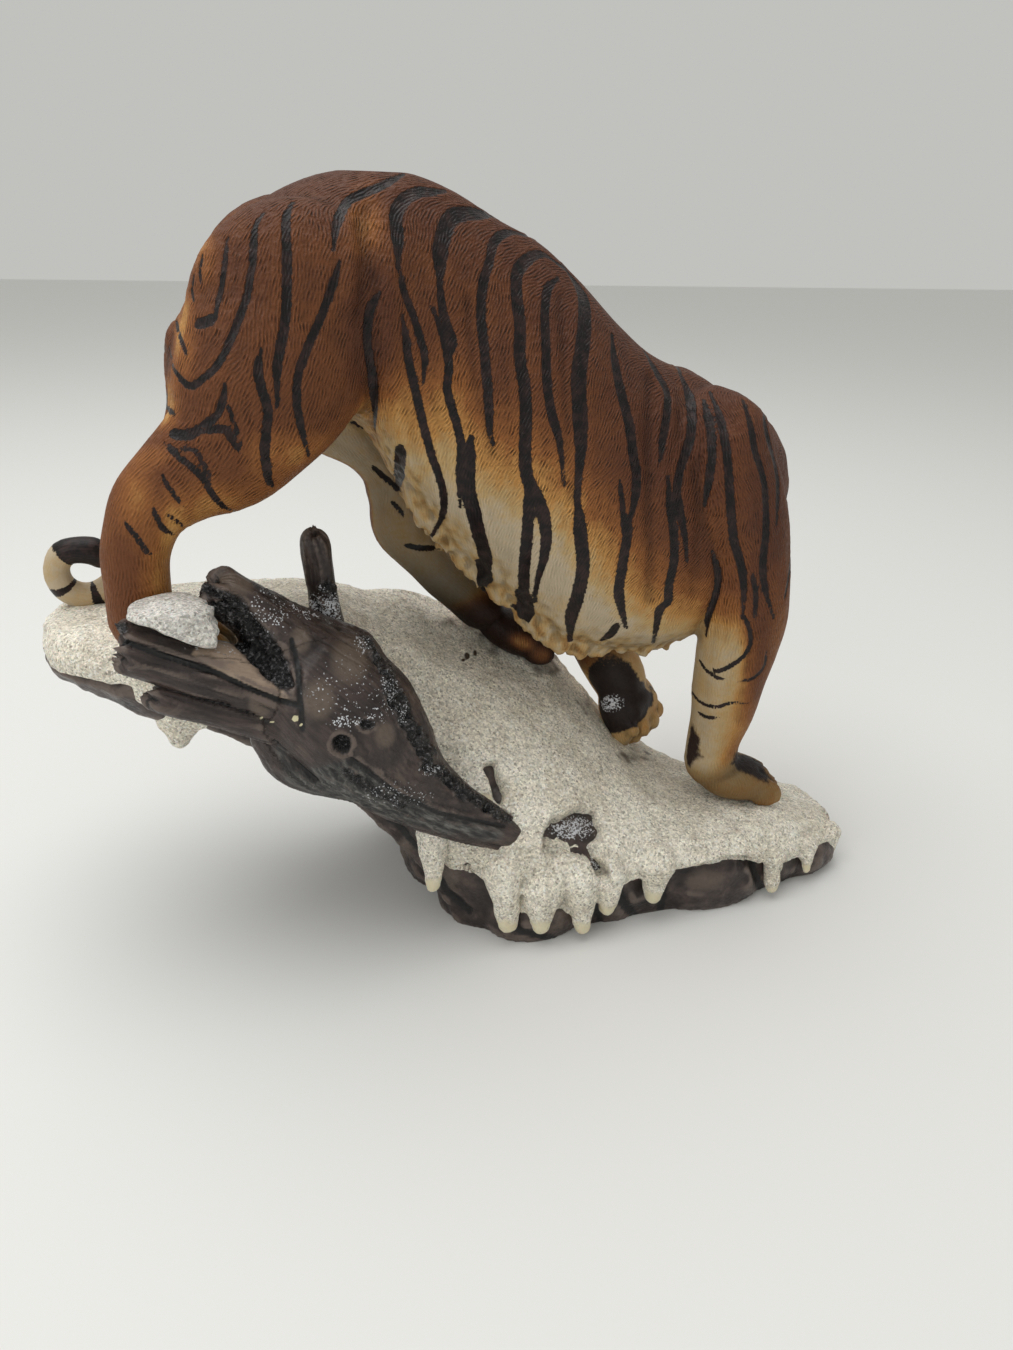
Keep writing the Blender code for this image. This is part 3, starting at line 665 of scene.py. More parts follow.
def carved(pixels, rows, low, blend, ragged=0.0):
    """Depth pressed in by drawn lines (path, width, depth, darkness), and how dark they are."""
    press = dark = 0.0
    for path, wide, depth, black in rows:
        inside = flat_line(pixels, path, wide)
        press = press + depth * ramp(inside, low, wide / 2)
        dark = np.maximum(dark, black * ramp(inside + ragged, *blend))
    return press, dark


# Forms

def skin_rings(mesh, rings):
    loops = [[mesh.verts.new(Vector(point) * MM) for point in ring] for ring in rings]
    count = len(loops[0])
    for one, two in zip(loops, loops[1:]):
        for k in range(count):
            mesh.faces.new((one[k], one[(k + 1) % count], two[(k + 1) % count], two[k]))
    mesh.faces.new(list(reversed(loops[0])))
    mesh.faces.new(loops[-1])


def limb(mesh, stations, side=(0, 1, 0), points=20):
    """Oval loft along a curved line, with domed ends."""
    rows = spline(stations, 5)
    centres = [Vector(row[:3]) for row in rows]
    rings = []
    for index, row in enumerate(rows):
        ahead = centres[min(index + 1, len(rows) - 1)] - centres[max(index - 1, 0)]
        ahead.normalize()
        wide = Vector(side) - ahead * ahead.dot(Vector(side))
        wide.normalize()
        deep = ahead.cross(wide)
        ends = [(0.0, 1.0)]
        if index == 0:
            ends = [(-far, small) for far, small in reversed(DOME)] + ends
        if index == len(rows) - 1:
            ends = ends + DOME
        for far, small in ends:
            middle = centres[index] + ahead * far * min(row[3], row[4])
            rings.append([middle + wide * row[3] * small * math.cos(2 * math.pi * k / points)
                          + deep * row[4] * small * math.sin(2 * math.pi * k / points)
                          for k in range(points)])
    skin_rings(mesh, rings)


def ball(mesh, centre, radii, turn=Matrix()):
    place = Matrix.Translation(Vector(centre) * MM) @ turn @ Matrix.Diagonal((*(Vector(radii) * MM), 1.0))
    bmesh.ops.create_uvsphere(mesh, u_segments=24, v_segments=16, radius=1.0, matrix=place)


def trunk(mesh):
    rings = []
    for top_x, top_z, low_x, low_z, wide in spline(TRUNK, 5):
        top = Vector((top_x, 0, top_z))
        bottom = Vector((low_x, 0, low_z))
        ring = []
        for k in range(36):
            turn = 2 * math.pi * k / 36
            side = wide * (1.0 - 0.14 * math.sin(turn)) * math.cos(turn)
            ring.append((top + bottom) / 2 + (top - bottom) / 2 * math.sin(turn) + Vector((0, side, 0)))
        rings.append(ring)
    skin_rings(mesh, rings)


def turned(yaw, pitch, roll=0.0):
    turns = [Matrix.Rotation(math.radians(angle), 4, axis) for angle, axis in ((yaw, "Z"), (pitch, "Y"), (roll, "Z"))]
    return turns[0] @ turns[1] @ turns[2]


def foot_turn(foot):
    """How a foot lies; its last number is a turn about the normal of its flat side."""
    return turned(foot[2], foot[1], foot[6])


def paw(mesh, foot):
    """Foot with four toes, its length along the turned x axis."""
    long, wide, high = foot[3:6]
    turn = foot_turn(foot)
    ball(mesh, foot[0], (long, wide, high), turn)
    for place in (-0.72, -0.26, 0.26, 0.72):
        reach = 0.78 - 0.25 * abs(place)
        tip = turn @ Vector((long * reach, wide * place, -high * 0.2))
        ball(mesh, Vector(foot[0]) + tip, (long * 0.42, wide * 0.25, high * 0.66), turn)


def pads(mesh, foot):
    """Swollen pads on the sole of the raised foot: a lobed broad one and one for each toe."""
    long, wide, high = foot[3:6]
    turn = foot_turn(foot)
    for x, y, size in ((-0.18, 0, (5.0, 5.5, 3.0)), (0.0, -0.34, (4.6, 4.6, 2.8)), (0.0, 0.34, (4.6, 4.6, 2.8)),
                       (0.50, -0.66, (3.5, 2.8, 2.8)), (0.66, -0.24, (3.7, 2.9, 3.0)),
                       (0.66, 0.24, (3.7, 2.9, 3.0)), (0.50, 0.66, (3.5, 2.8, 2.8))):
        spot = turn @ Vector((long * x, wide * y, high * (0.86 - 0.30 * math.hypot(x, y))))
        ball(mesh, Vector(foot[0]) + spot, size, turn)


HEAD_SET = turned(HEAD_TURN, HEAD_DIP)
HEAD_FRAME = np.array(HEAD_SET.to_3x3())


def head(mesh):
    made = bmesh.new()
    ball(made, (-1, 0, 1), (20, 19, 18))
    limb(made, MUZZLE)
    limb(made, NOSE_BRIDGE)
    ball(made, (17, 0, -15), (8, 8, 5.5))
    for side in (-1, 1):
        ball(made, (-3, side * 14.5, -7), (12, 8.5, 14))
        ball(made, (7, side * 9, 9), (8, 6, 5))
        ball(made, (20, side * 6.5, -8), (7.5, 6.5, 6.5))
        ball(made, (-9, side * 14.5, 16), (4.2, 7.2, 7.6))
    for vert in made.verts:
        vert.co = HEAD_SET @ vert.co + Vector(HEAD_AT) * MM
    keep = bpy.data.meshes.new("head_form")
    made.to_mesh(keep)
    made.free()
    mesh.from_mesh(keep)
    bpy.data.meshes.remove(keep)


def fringe(mesh):
    """Scalloped clumps of ragged locks along both sides of the belly."""
    chance = np.random.default_rng(3)
    rows = spline([(x, z, 0) for x, z in FRINGE], 5)
    for index, (x, z, _) in enumerate(rows):
        clump = 1.3 * abs(math.sin(index * 0.62))
        for side in (-1, 1):
            drop = chance.uniform(-1.2, 1.5) + 1.1 - clump * 1.5
            lean = chance.uniform(-1.6, 1.2)
            out = 9 + clump + chance.uniform(-1.0, 1.0)
            limb(mesh, ((x + 2.5, side * out, z + 14, 3.6, 3.4),
                        (x + 1 + lean / 2, side * (out - 0.5), z + 7, 3.2, 2.6),
                        (x + lean, side * (out - 2.0), z + 1.6 + drop, 1.5, 1.3)), points=12)
    for (x, z, _) in rows[::3]:
        limb(mesh, ((x + 2, 0, z + 12, 6, 5), (x + 1, 0, z + 5 + chance.uniform(-1, 1), 4, 3)), points=12)


def mound(mesh, drop, inset, floor, toe):
    """Mound of the GROUND rows, lowered by drop and drawn in by inset; floor is the row's number for its foot."""
    rings = []
    for row in spline(GROUND, 4):
        x, y1, z1, y2, z2, y3, z3 = row[:7]
        low = row[floor]
        y1 = y1 + inset
        y3 = y3 - inset
        z1 = max(z1 - drop, low + 2)
        z2 = max(z2 - drop, low + 3)
        z3 = max(z3 - drop, low + 2)
        rings.append([
            (x, y1 + toe, low), (x, y1, low + 0.6 * (z1 - low)), (x, y1 + 2, z1 - 2), (x, y1 + 7, z1 + 2),
            (x, (y1 + y2) / 2, (z1 + z2) / 2 + 2), (x, y2, z2), (x, (y2 + y3) / 2, (z2 + z3) / 2 + 1),
            (x, y3 - 7, z3 + 1), (x, y3 - 2, z3 - 3), (x, y3, (low + z3) / 2), (x, y3 - toe, low)])
    skin_rings(mesh, rings)


def object_from(name, mesh):
    data = bpy.data.meshes.new(name)
    mesh.to_mesh(data)
    mesh.free()
    made = bpy.data.objects.new(name, data)
    bpy.context.scene.collection.objects.link(made)
    return made


def smoothed(made):
    for face in made.data.polygons:
        face.use_smooth = True
    return made


def fused(name, mesh, grain, easing=2):
    """One skin over overlapping forms, with its points and normals."""
    bmesh.ops.recalc_face_normals(mesh, faces=mesh.faces)
    made = object_from(name, mesh)
    rough = made.data
    step = made.modifiers.new("fuse", "REMESH")
    step.mode = "VOXEL"
    step.voxel_size = grain * MM
    step = made.modifiers.new("ease", "SMOOTH")
    step.factor = 0.5
    step.iterations = easing
    skin = bpy.data.meshes.new_from_object(made.evaluated_get(bpy.context.evaluated_depsgraph_get()))
    made.modifiers.clear()
    made.data = skin
    bpy.data.meshes.remove(rough)
    return smoothed(made), points_of(made), normals_of(made)


def points_of(made):
    out = np.empty(len(made.data.vertices) * 3)
    made.data.vertices.foreach_get("co", out)
    return out.reshape(-1, 3) / MM


def normals_of(made):
    made.data.update()
    out = np.empty(len(made.data.vertices) * 3)
    made.data.vertices.foreach_get("normal", out)
    return out.reshape(-1, 3)


def set_points(made, points):
    made.data.vertices.foreach_set("co", (points * MM).ravel())
    made.data.update()


def hollowness(made):
    """How sunken each point is against its neighbours, in mm, averaged a few times over."""
    points = points_of(made)
    ends = np.empty(len(made.data.edges) * 2, np.int64)
    made.data.edges.foreach_get("vertices", ends)
    ends = ends.reshape(-1, 2)
    count = np.bincount(ends.ravel(), minlength=len(points)).astype(float)

    def mean(values):
        total = np.zeros_like(values)
        np.add.at(total, ends[:, 0], values[ends[:, 1]])
        np.add.at(total, ends[:, 1], values[ends[:, 0]])
        return total / (count[:, None] if values.ndim > 1 else count)

    return mean(((mean(mean(points)) - points) * normals_of(made)).sum(1))


def hand_over(made, material, slot, *nodes, **values):
    """Store the values that the paint reads, shift the piece to the shared frame and hand it over."""
    for name, numbers in values.items():
        wide = np.ndim(numbers) == 2
        layer = made.data.attributes.new(name, "FLOAT_VECTOR" if wide else "FLOAT", "POINT")
        numbers = np.asarray(numbers) * np.ones((len(made.data.vertices), 1) if wide else len(made.data.vertices))
        layer.data.foreach_set("vector" if wide else "value", numbers.astype(np.float32).ravel())
    made.data.materials.append(material)
    made.data.transform(Matrix.Translation(Vector(ORIGIN) * MM))
    set_points(made, np.clip(points_of(made), np.array(cad_box[0]) / MM, np.array(cad_box[1]) / MM))
    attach(made, "root")
    if nodes:
        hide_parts(*nodes)


# Node helpers

def linear(rgb):
    return tuple((c / 255 / 12.92) if c / 255 <= 0.04045 else ((c / 255 + 0.055) / 1.055) ** 2.4 for c in rgb)


class Paint:
    """A material and short ways to add nodes to it."""

    def __init__(self, name):
        self.material = bpy.data.materials.new(name)
        self.material.use_nodes = True
        self.tree = self.material.node_tree
        self.shader = self.tree.nodes["Principled BSDF"]
        here = self.node("ShaderNodeTexCoord").outputs["Object"]
        self.mm = self.node("ShaderNodeVectorMath", {0: here, 1: (1000, 1000, 1000)}, operation="MULTIPLY").outputs[0]

    def plug(self, socket, value):
        if isinstance(value, bpy.types.NodeSocket):
            self.tree.links.new(value, socket)
        else:
            socket.default_value = value

    def node(self, kind, inputs=None, **settings):
        made = self.tree.nodes.new(kind)
        for key, value in settings.items():
            setattr(made, key, value)
        for key, value in (inputs or {}).items():
            self.plug(made.inputs[key], value)
        return made

    def math(self, operation, *values):
        return self.node("ShaderNodeMath", dict(enumerate(values)), operation=operation).outputs[0]

    def times(self, one, two):
        return self.math("MULTIPLY", one, two)

    def plus(self, one, two):
        return self.math("ADD", one, two)

    def less(self, one, two):
        return self.math("SUBTRACT", one, two)

    def stirred(self, value, noise, much):
        """Value, made uneven by a noise."""
        return self.plus(value, self.times(self.less(noise, 0.5), much))

    def value(self, name):
        return self.node("ShaderNodeAttribute", attribute_name=name).outputs["Fac"]

    def vector(self, name):
        return self.node("ShaderNodeAttribute", attribute_name=name).outputs["Vector"]

    def span(self, value, low, high, out_low=0.0, out_high=1.0, kind="SMOOTHSTEP"):
        return self.node("ShaderNodeMapRange", {"Value": value, "From Min": low, "From Max": high,
                                                "To Min": out_low, "To Max": out_high},
                         interpolation_type=kind).outputs["Result"]

    def noise(self, size, detail=2.0, vector=None, roughness=0.5):
        return self.node("ShaderNodeTexNoise", {"Vector": vector or self.mm, "Scale": 1 / size, "Detail": detail,
                                                "Roughness": roughness}).outputs["Fac"]

    def cells(self, size):
        """Three random values for each cell of a grit."""
        colour = self.node("ShaderNodeTexVoronoi", {"Vector": self.mm, "Scale": 1 / size}).outputs["Color"]
        return self.node("ShaderNodeSeparateColor", {0: colour}).outputs

    def colours(self, value, *stops):
        made = self.node("ShaderNodeValToRGB", {"Fac": value})
        bar = made.color_ramp.elements
        while len(bar) > 1:
            bar.remove(bar[-1])
        for index, (where, rgb) in enumerate(stops):
            stop = bar[0] if index == 0 else bar.new(where)
            stop.position = where
            stop.color = (*linear(rgb), 1.0)
        return made.outputs["Color"]

    def mix(self, how_much, one, two, blend="MIX"):
        made = self.node("ShaderNodeMix", {"Factor": how_much}, data_type="RGBA", blend_type=blend)
        for socket, value in ((6, one), (7, two)):
            self.plug(made.inputs[socket], (*linear(value), 1.0) if isinstance(value, tuple) else value)
        return made.outputs[2]

    def shade(self, colour, value):
        """Colour times a plain value."""
        grey = self.node("ShaderNodeCombineColor", {0: value, 1: value, 2: value}).outputs[0]
        return self.mix(1.0, colour, grey, "MULTIPLY")

    def bump(self, height, distance, strength, normal=None):
        inputs = {"Height": height, "Distance": distance * MM, "Strength": strength}
        if normal is not None:
            inputs["Normal"] = normal
        return self.node("ShaderNodeBump", inputs).outputs[0]

    def set(self, **inputs):
        for key, value in inputs.items():
            self.plug(self.shader.inputs[key.replace("_", " ")], value)
        return self.material

    def frosted(self, base):
        """Scattered white grains where the frost value is high: the colour, and where they are."""
        dense = self.times(self.value("frost"), self.span(self.noise(2.2), 0.35, 0.6, 0.45, 1.0))
        there = self.math("MULTIPLY_ADD", dense, 0.75, self.times(self.cells(0.42)[0], 0.9))
        there = self.span(there, 0.93, 1.0)
        return self.mix(there, base, (206, 208, 212)), there


def coat_paint():
    paint = Paint("tiger_coat")
    span, times, stirred, value, shade, mix = \
        paint.span, paint.times, paint.stirred, paint.value, paint.shade, paint.mix
    fur = paint.node("ShaderNodeTexGabor", {"Vector": paint.mm, "Scale": 0.46, "Frequency": 2.1, "Anisotropy": 0.94,
                                            "Orientation": paint.vector("across")}, gabor_type="3D").outputs["Value"]
    tone = value("tone")
    long = times(value("furry"), span(tone, 0.08, 0.42, 0.40, 1.0))
    long = times(long, span(paint.noise(2.6), 0.30, 0.62, 0.45, 1.15))
    fine = paint.noise(1.2)
    tone = stirred(stirred(tone, paint.noise(9.0, 3.0), 0.30), fine, 0.16)
    base = paint.colours(tone, (0.0, (182, 166, 140)), (0.14, (182, 153, 106)), (0.30, (178, 130, 72)),
                         (0.50, (138, 87, 45)), (0.74, (106, 63, 35)), (1.0, (82, 47, 30)))
    strand = span(fur, 0.25, 0.75, 0.34, 1.60, "LINEAR")
    base = shade(base, paint.math("MULTIPLY_ADD", paint.less(strand, 1.0), long, 1.0))
    # Darker in hollows and lighter on rises: the figurine's wash and dry-brushing, with painted shade and painted
    # highlight
    base = shade(base, span(value("sunk"), -0.05, 0.12, 1.06, 0.66))
    ragged = stirred(paint.less(paint.noise(1.5, 3.0), 0.5), fur, 0.7)
    mark = span(paint.plus(value("stripe"), ragged), -0.16, 0.16)
    ink = mix(span(paint.noise(3.0), 0.4, 0.7), (25, 20, 20), (46, 33, 31))
    base = mix(mark, base, shade(ink, span(fur, 0.3, 0.75, 0.7, 1.5, "LINEAR")))
    pad = span(stirred(value("pad"), fine, 0.6), 0.35, 0.75)
    base = mix(pad, base, mix(fine, (24, 20, 20), (52, 41, 38)))
    base = mix(span(stirred(value("russet"), fine, 0.6), 0.25, 0.9), base, (46, 31, 27))
    base = mix(span(value("nose"), 0.35, 0.65), base, (104, 62, 54))
    # The coat is darkened here by painted shade on the far legs, low feet, underside and fringe gaps
    base, _ = paint.frosted(shade(base, paint.less(1.0, value("dim"))))
    rough = paint.less(span(fine, 0.3, 0.7, 0.50, 0.64), times(mark, 0.18))
    relief = times(fur, times(long, span(mark, 0.0, 1.0, 1.0, 0.45)))
    normal = paint.bump(paint.noise(0.8), 0.14, 0.5, paint.bump(relief, 0.9, 1.0))
    return paint.set(Base_Color=base, Roughness=paint.less(rough, times(pad, 0.12)), Normal=normal,
                     Specular_IOR_Level=0.22)


def wood_paint():
    paint = Paint("dark_wood_and_rock")
    span, times, value, mix, colours = paint.span, paint.times, paint.value, paint.mix, paint.colours
    lines = paint.noise(1.0, 4.0, paint.vector("grain"), 0.6)
    fine = paint.noise(1.4, 3.0)
    crust = paint.noise(1.1, 4.0, roughness=0.65)
    base = colours(paint.plus(times(paint.noise(11.0, 3.0), 0.5), times(lines, 0.5)), (0.32, (29, 23, 22)),
                   (0.45, (48, 39, 37)), (0.55, (66, 54, 50)), (0.70, (92, 78, 69)))
    base = mix(span(value("tan"), 0.2, 0.9), base, mix(lines, (118, 100, 86), (176, 156, 136)))
    base = mix(span(value("taupe"), 0.2, 1.0), base, mix(fine, (84, 72, 63), (116, 102, 90)))
    base = mix(value("grey"), base, colours(lines, (0.36, (24, 24, 25)), (0.50, (62, 61, 59)), (0.66, (112, 110, 105))))
    # Darker in hollows and lighter on ridges: the figurine's wash, with painted shade in the hollows and painted
    # highlight on the ridges
    base = mix(span(value("sunk"), 0.03, 0.20), base, (17, 14, 15))
    base = mix(times(span(value("sunk"), -0.05, -0.2), 0.8), base, (108, 94, 86))
    bark = value("bark")
    # The bark's raised crust goes light grey: painted highlight on its ridges, over black bark
    base = mix(bark, base, colours(crust, (0.42, (10, 9, 10)), (0.54, (32, 30, 31)), (0.64, (112, 110, 111))))
    base = mix(span(paint.stirred(value("dark"), fine, 0.5), 0.3, 0.75), base, (15, 13, 14))
    base, frost = paint.frosted(base)
    base = mix(span(value("cream"), 0.35, 0.6), base, (214, 206, 168))
    rough = paint.less(span(fine, 0.3, 0.7, 0.30, 0.50), times(bark, 0.14))
    normal = paint.bump(fine, 0.3, 0.7, paint.bump(lines, 0.6, 0.8))
    normal = paint.bump(times(crust, paint.math("MULTIPLY_ADD", bark, 0.9, 0.12)), 1.2, 0.9, normal)
    normal = paint.bump(frost, 0.3, 1.0, normal)
    return paint.set(Base_Color=base, Roughness=rough, Normal=normal, Specular_IOR_Level=0.45)


def snow_paint(name, light, grey):
    paint = Paint(name)
    span, times, value, shade, mix = paint.span, paint.times, paint.value, paint.shade, paint.mix
    one, two, three = paint.cells(0.66)
    base = mix(span(paint.noise(14.0, 3.0), 0.35, 0.65), grey, light)
    base = shade(base, span(one, 0.0, 1.0, 0.66, 1.16, "LINEAR"))
    base = shade(base, span(paint.cells(0.36)[0], 0.0, 1.0, 0.80, 1.14, "LINEAR"))
    base = shade(base, span(paint.noise(2.0), 0.3, 0.7, 0.90, 1.06))
    base = mix(times(span(two, 0.88, 0.93), 0.65), base, (246, 245, 238))
    base = mix(times(span(three, 0.88, 0.93), 0.55), base, (104, 98, 86))
    smooth = span(paint.stirred(value("cream"), paint.noise(2.4), 0.7), 0.3, 0.9)
    base = mix(smooth, base, mix(paint.noise(3.0), (206, 196, 164), (230, 221, 192)))
    # Dark patches of dirt and painted shadow
    base = mix(span(value("dirt"), 0.3, 0.9), base, (72, 60, 48))
    # Painted shade: the snow darkens in its hollows
    base = shade(base, span(value("sunk"), 0.0, 0.25, 1.0, 0.72))
    height = times(paint.plus(times(one, 0.9), paint.noise(1.0, 3.0)), span(smooth, 0.0, 1.0, 1.0, 0.12))
    rough = paint.less(0.80, times(span(two, 0.86, 0.9), 0.55))
    return paint.set(Base_Color=base, Roughness=paint.less(rough, times(smooth, 0.35)),
                     Normal=paint.bump(height, 0.42, 0.85), Subsurface_Weight=0.1, Subsurface_Scale=0.002,
                     Specular_IOR_Level=0.4)


def eye_paint():
    paint = Paint("tiger_eye")
    base = paint.colours(paint.value("ring"), (0.0, (12, 10, 8)), (0.30, (12, 10, 8)), (0.36, (176, 132, 40)),
                         (0.7, (150, 104, 30)), (0.8, (40, 26, 14)), (1.0, (18, 13, 10)))
    base = paint.shade(base, paint.span(paint.noise(0.6), 0.3, 0.7, 0.9, 1.1))
    return paint.set(Base_Color=base, Roughness=0.12, Coat_Weight=0.6, Coat_Roughness=0.05)


# Tiger

def stripes_on(skin_tree, points):
    """Paths of all stripes on the skin, in mm, with half widths."""
    def dropped(pixel):
        line = (pixel[0] - MIDDLE[0]) * RIGHT + (pixel[1] - MIDDLE[1]) * DOWN + FOCUS * AHEAD
        line = line / np.linalg.norm(line)
        hit = skin_tree.ray_cast(Vector(EYE * MM), Vector(line))[0]
        if hit is not None:
            return np.array(hit) / MM
        away = points - EYE
        return points[np.argmin(np.linalg.norm(away - (away @ line)[:, None] * line, axis=1))]

    def on_skin(path):
        return np.array([np.array(skin_tree.find_nearest(Vector(place) * MM)[0]) / MM for place in path])

    out = []
    for rows, both in ((TRUNK_STRIPES, True), (LEG_STRIPES, False)):
        for wide, flat in rows:
            path = np.array([dropped(pixel) for pixel in spline(np.array(flat, float).reshape(-1, 2), 4)])
            half = 0.5 * wide * ((path - EYE) @ AHEAD) / FOCUS * taper(len(path))
            out.append((path, half))
            if both:
                out.append((on_skin(path * (1, -1, 1)), half))
    for half, rows in HEAD_STRIPES:
        for side in (-1, 1):
            path = on_skin([HEAD_FRAME @ (row * (1, side, 1)) + np.array(HEAD_AT) for row in spline(rows, 4)])
            out.append((path, half * taper(len(path))))
    return out


def bands(place, angle, rows):
    """Depth inside bands round a limb: length along, middle angle, reach of angle, half width, slant."""
    best = np.full(len(angle), -FAR_OFF)
    for along, middle, reach, half, slant in rows:
        turn = np.abs((angle - math.radians(middle) + math.pi) % (2 * math.pi) - math.pi)
        fade = np.clip((math.radians(reach) - turn) / math.radians(25), -1, 1)
        best = np.maximum(best, np.minimum(half - np.abs(place["along"] - along - slant * turn), half * fade * 2))
    return best


def coat_tones(points, normals, face, section, height, limbs, share):
    """Colour of the coat, from 0 cream over gold and brown to 1 deep brown."""
    cream, gold, brown = (np.interp(section, range(len(COAT)), column) for column in zip(*COAT))
    tones = {"trunk": 0.34 * ramp(height, cream - 0.06, gold) + 0.50 * ramp(height, gold - 0.06, brown + 0.1)
             + 0.16 * ramp(height, 0.72, 1.0)}
    for name, side in (("right_hind", -1), ("left_hind", 1), ("right_fore", -1), ("left_fore", 1)):
        found = limbs[name]
        part = found["along"] / found["length"]
        outer = side * normals[:, 1]
        if "hind" in name:
            front = (normals * np.cross(found["ahead"], (0, side, 0))).sum(1) * side
            tone = 0.80 - 0.30 * ramp(part, 0.2, 0.5) * ramp(front, -0.2, 0.8) - 0.10 * ramp(part, 0.45, 0.7)
            inner = 0.05 if side > 0 else 0.10 + 0.2 * ramp(part, 0.25, 0.85)
            tones[name] = inner + (tone - inner) * ramp(outer, -0.55, 0.05)
        else:
            tone = 0.88 - 0.34 * ramp(part, 0.3, 0.62) - 0.15 * ramp(part, 0.7, 1.0)
            rear = ramp(-normals[:, 0], -0.35, 0.6) * ramp(part, 0.38, 0.62) * (side < 0)
            # The far foreleg's inner side is browner than the near one's: painted shade
            inner = 0.62 if side > 0 else 0.10
            tones[name] = inner + (tone * (1 - 0.85 * rear) - inner) * ramp(outer, -0.7, -0.05)
    tones["neck"] = 0.85 * ramp(normals[:, 2], -0.5, 0.25)
    tones["tail"] = 0.75 * (1 - ramp(limbs["tail"]["along"], 20, 60)) + 0.04
    forward, aside, above = face[:, 0], np.abs(face[:, 1]), face[:, 2]
    profile = np.stack((aside, above), 1)
    pale = np.maximum.reduce([
        ramp(forward, 10, 15) * ramp(-above, -1, 4), ramp(-above, 6, 13), ramp(aside, 13, 17) * ramp(-above, 0, 6),
        oval(profile, 8.4, 10.4, 3.6, 2.1, 1.35, 0.6) * ramp(forward, 5, 9),
        0.8 * oval(profile, 8.6, -0.5, 4.0, 1.4, 1.35, 0.6) * ramp(forward, 5, 9)])
    tones["head"] = 0.62 * (1 - pale) + 0.02
    return sum(share[name] * tones[name] for name in share)


def muscles(points, normals, share):
    """Height of the muscle forms and creases over the plain skin, in mm."""
    lift = 0.9 * noise(points, 26.0, 5) + 0.45 * noise(points, 13.0, 6)
    torso = {1: np.clip(share["trunk"] + share["right_hind"] + share["right_fore"], 0, 1), -1: share["trunk"]}
    for side, there in torso.items():
        pixels = seen(points * (1, side, 1))
        there = there * facing(normals * (1, side, 1), 0.0, 0.35)
        for path, half, depth in CREASES:
            lift += depth * np.exp(-(flat_line(pixels, path, 0.0) / half) ** 2) * there
    return lift * (1 - 0.75 * share["head"]) * (1 - 0.8 * share["tail"])


def fur_flow(points, normals, height, limbs, share):
    """Direction across the fur strokes."""
    flow = 0.0
    for weight, way in (
            (share["trunk"], (-0.55, 0, -0.83)),
            (share["trunk"] * ramp(height, 0.8, 1.05), (-1.0, 0, 0.4)),
            (share["trunk"] * ramp(-height, -0.35, -0.1), (0.45, 0, -0.2)),
            *((share[name], limbs[name]["ahead"]) for name in (*LEGS, "tail")),
            (-0.5 * share["neck"], limbs["neck"]["ahead"]), (share["neck"], (-0.3, 0, -0.6)),
            (-share["head"], HEAD_FRAME[:, 0])):
        flow = flow + weight[:, None] * np.array(way)
    flow = flow + 0.35 * np.stack([noise(points, 9.0, seed) for seed in (21, 22, 23)], 1)
    sideways = np.cross(flow, normals)
    return sideways / np.maximum(np.linalg.norm(sideways, axis=1), 1e-6)[:, None]


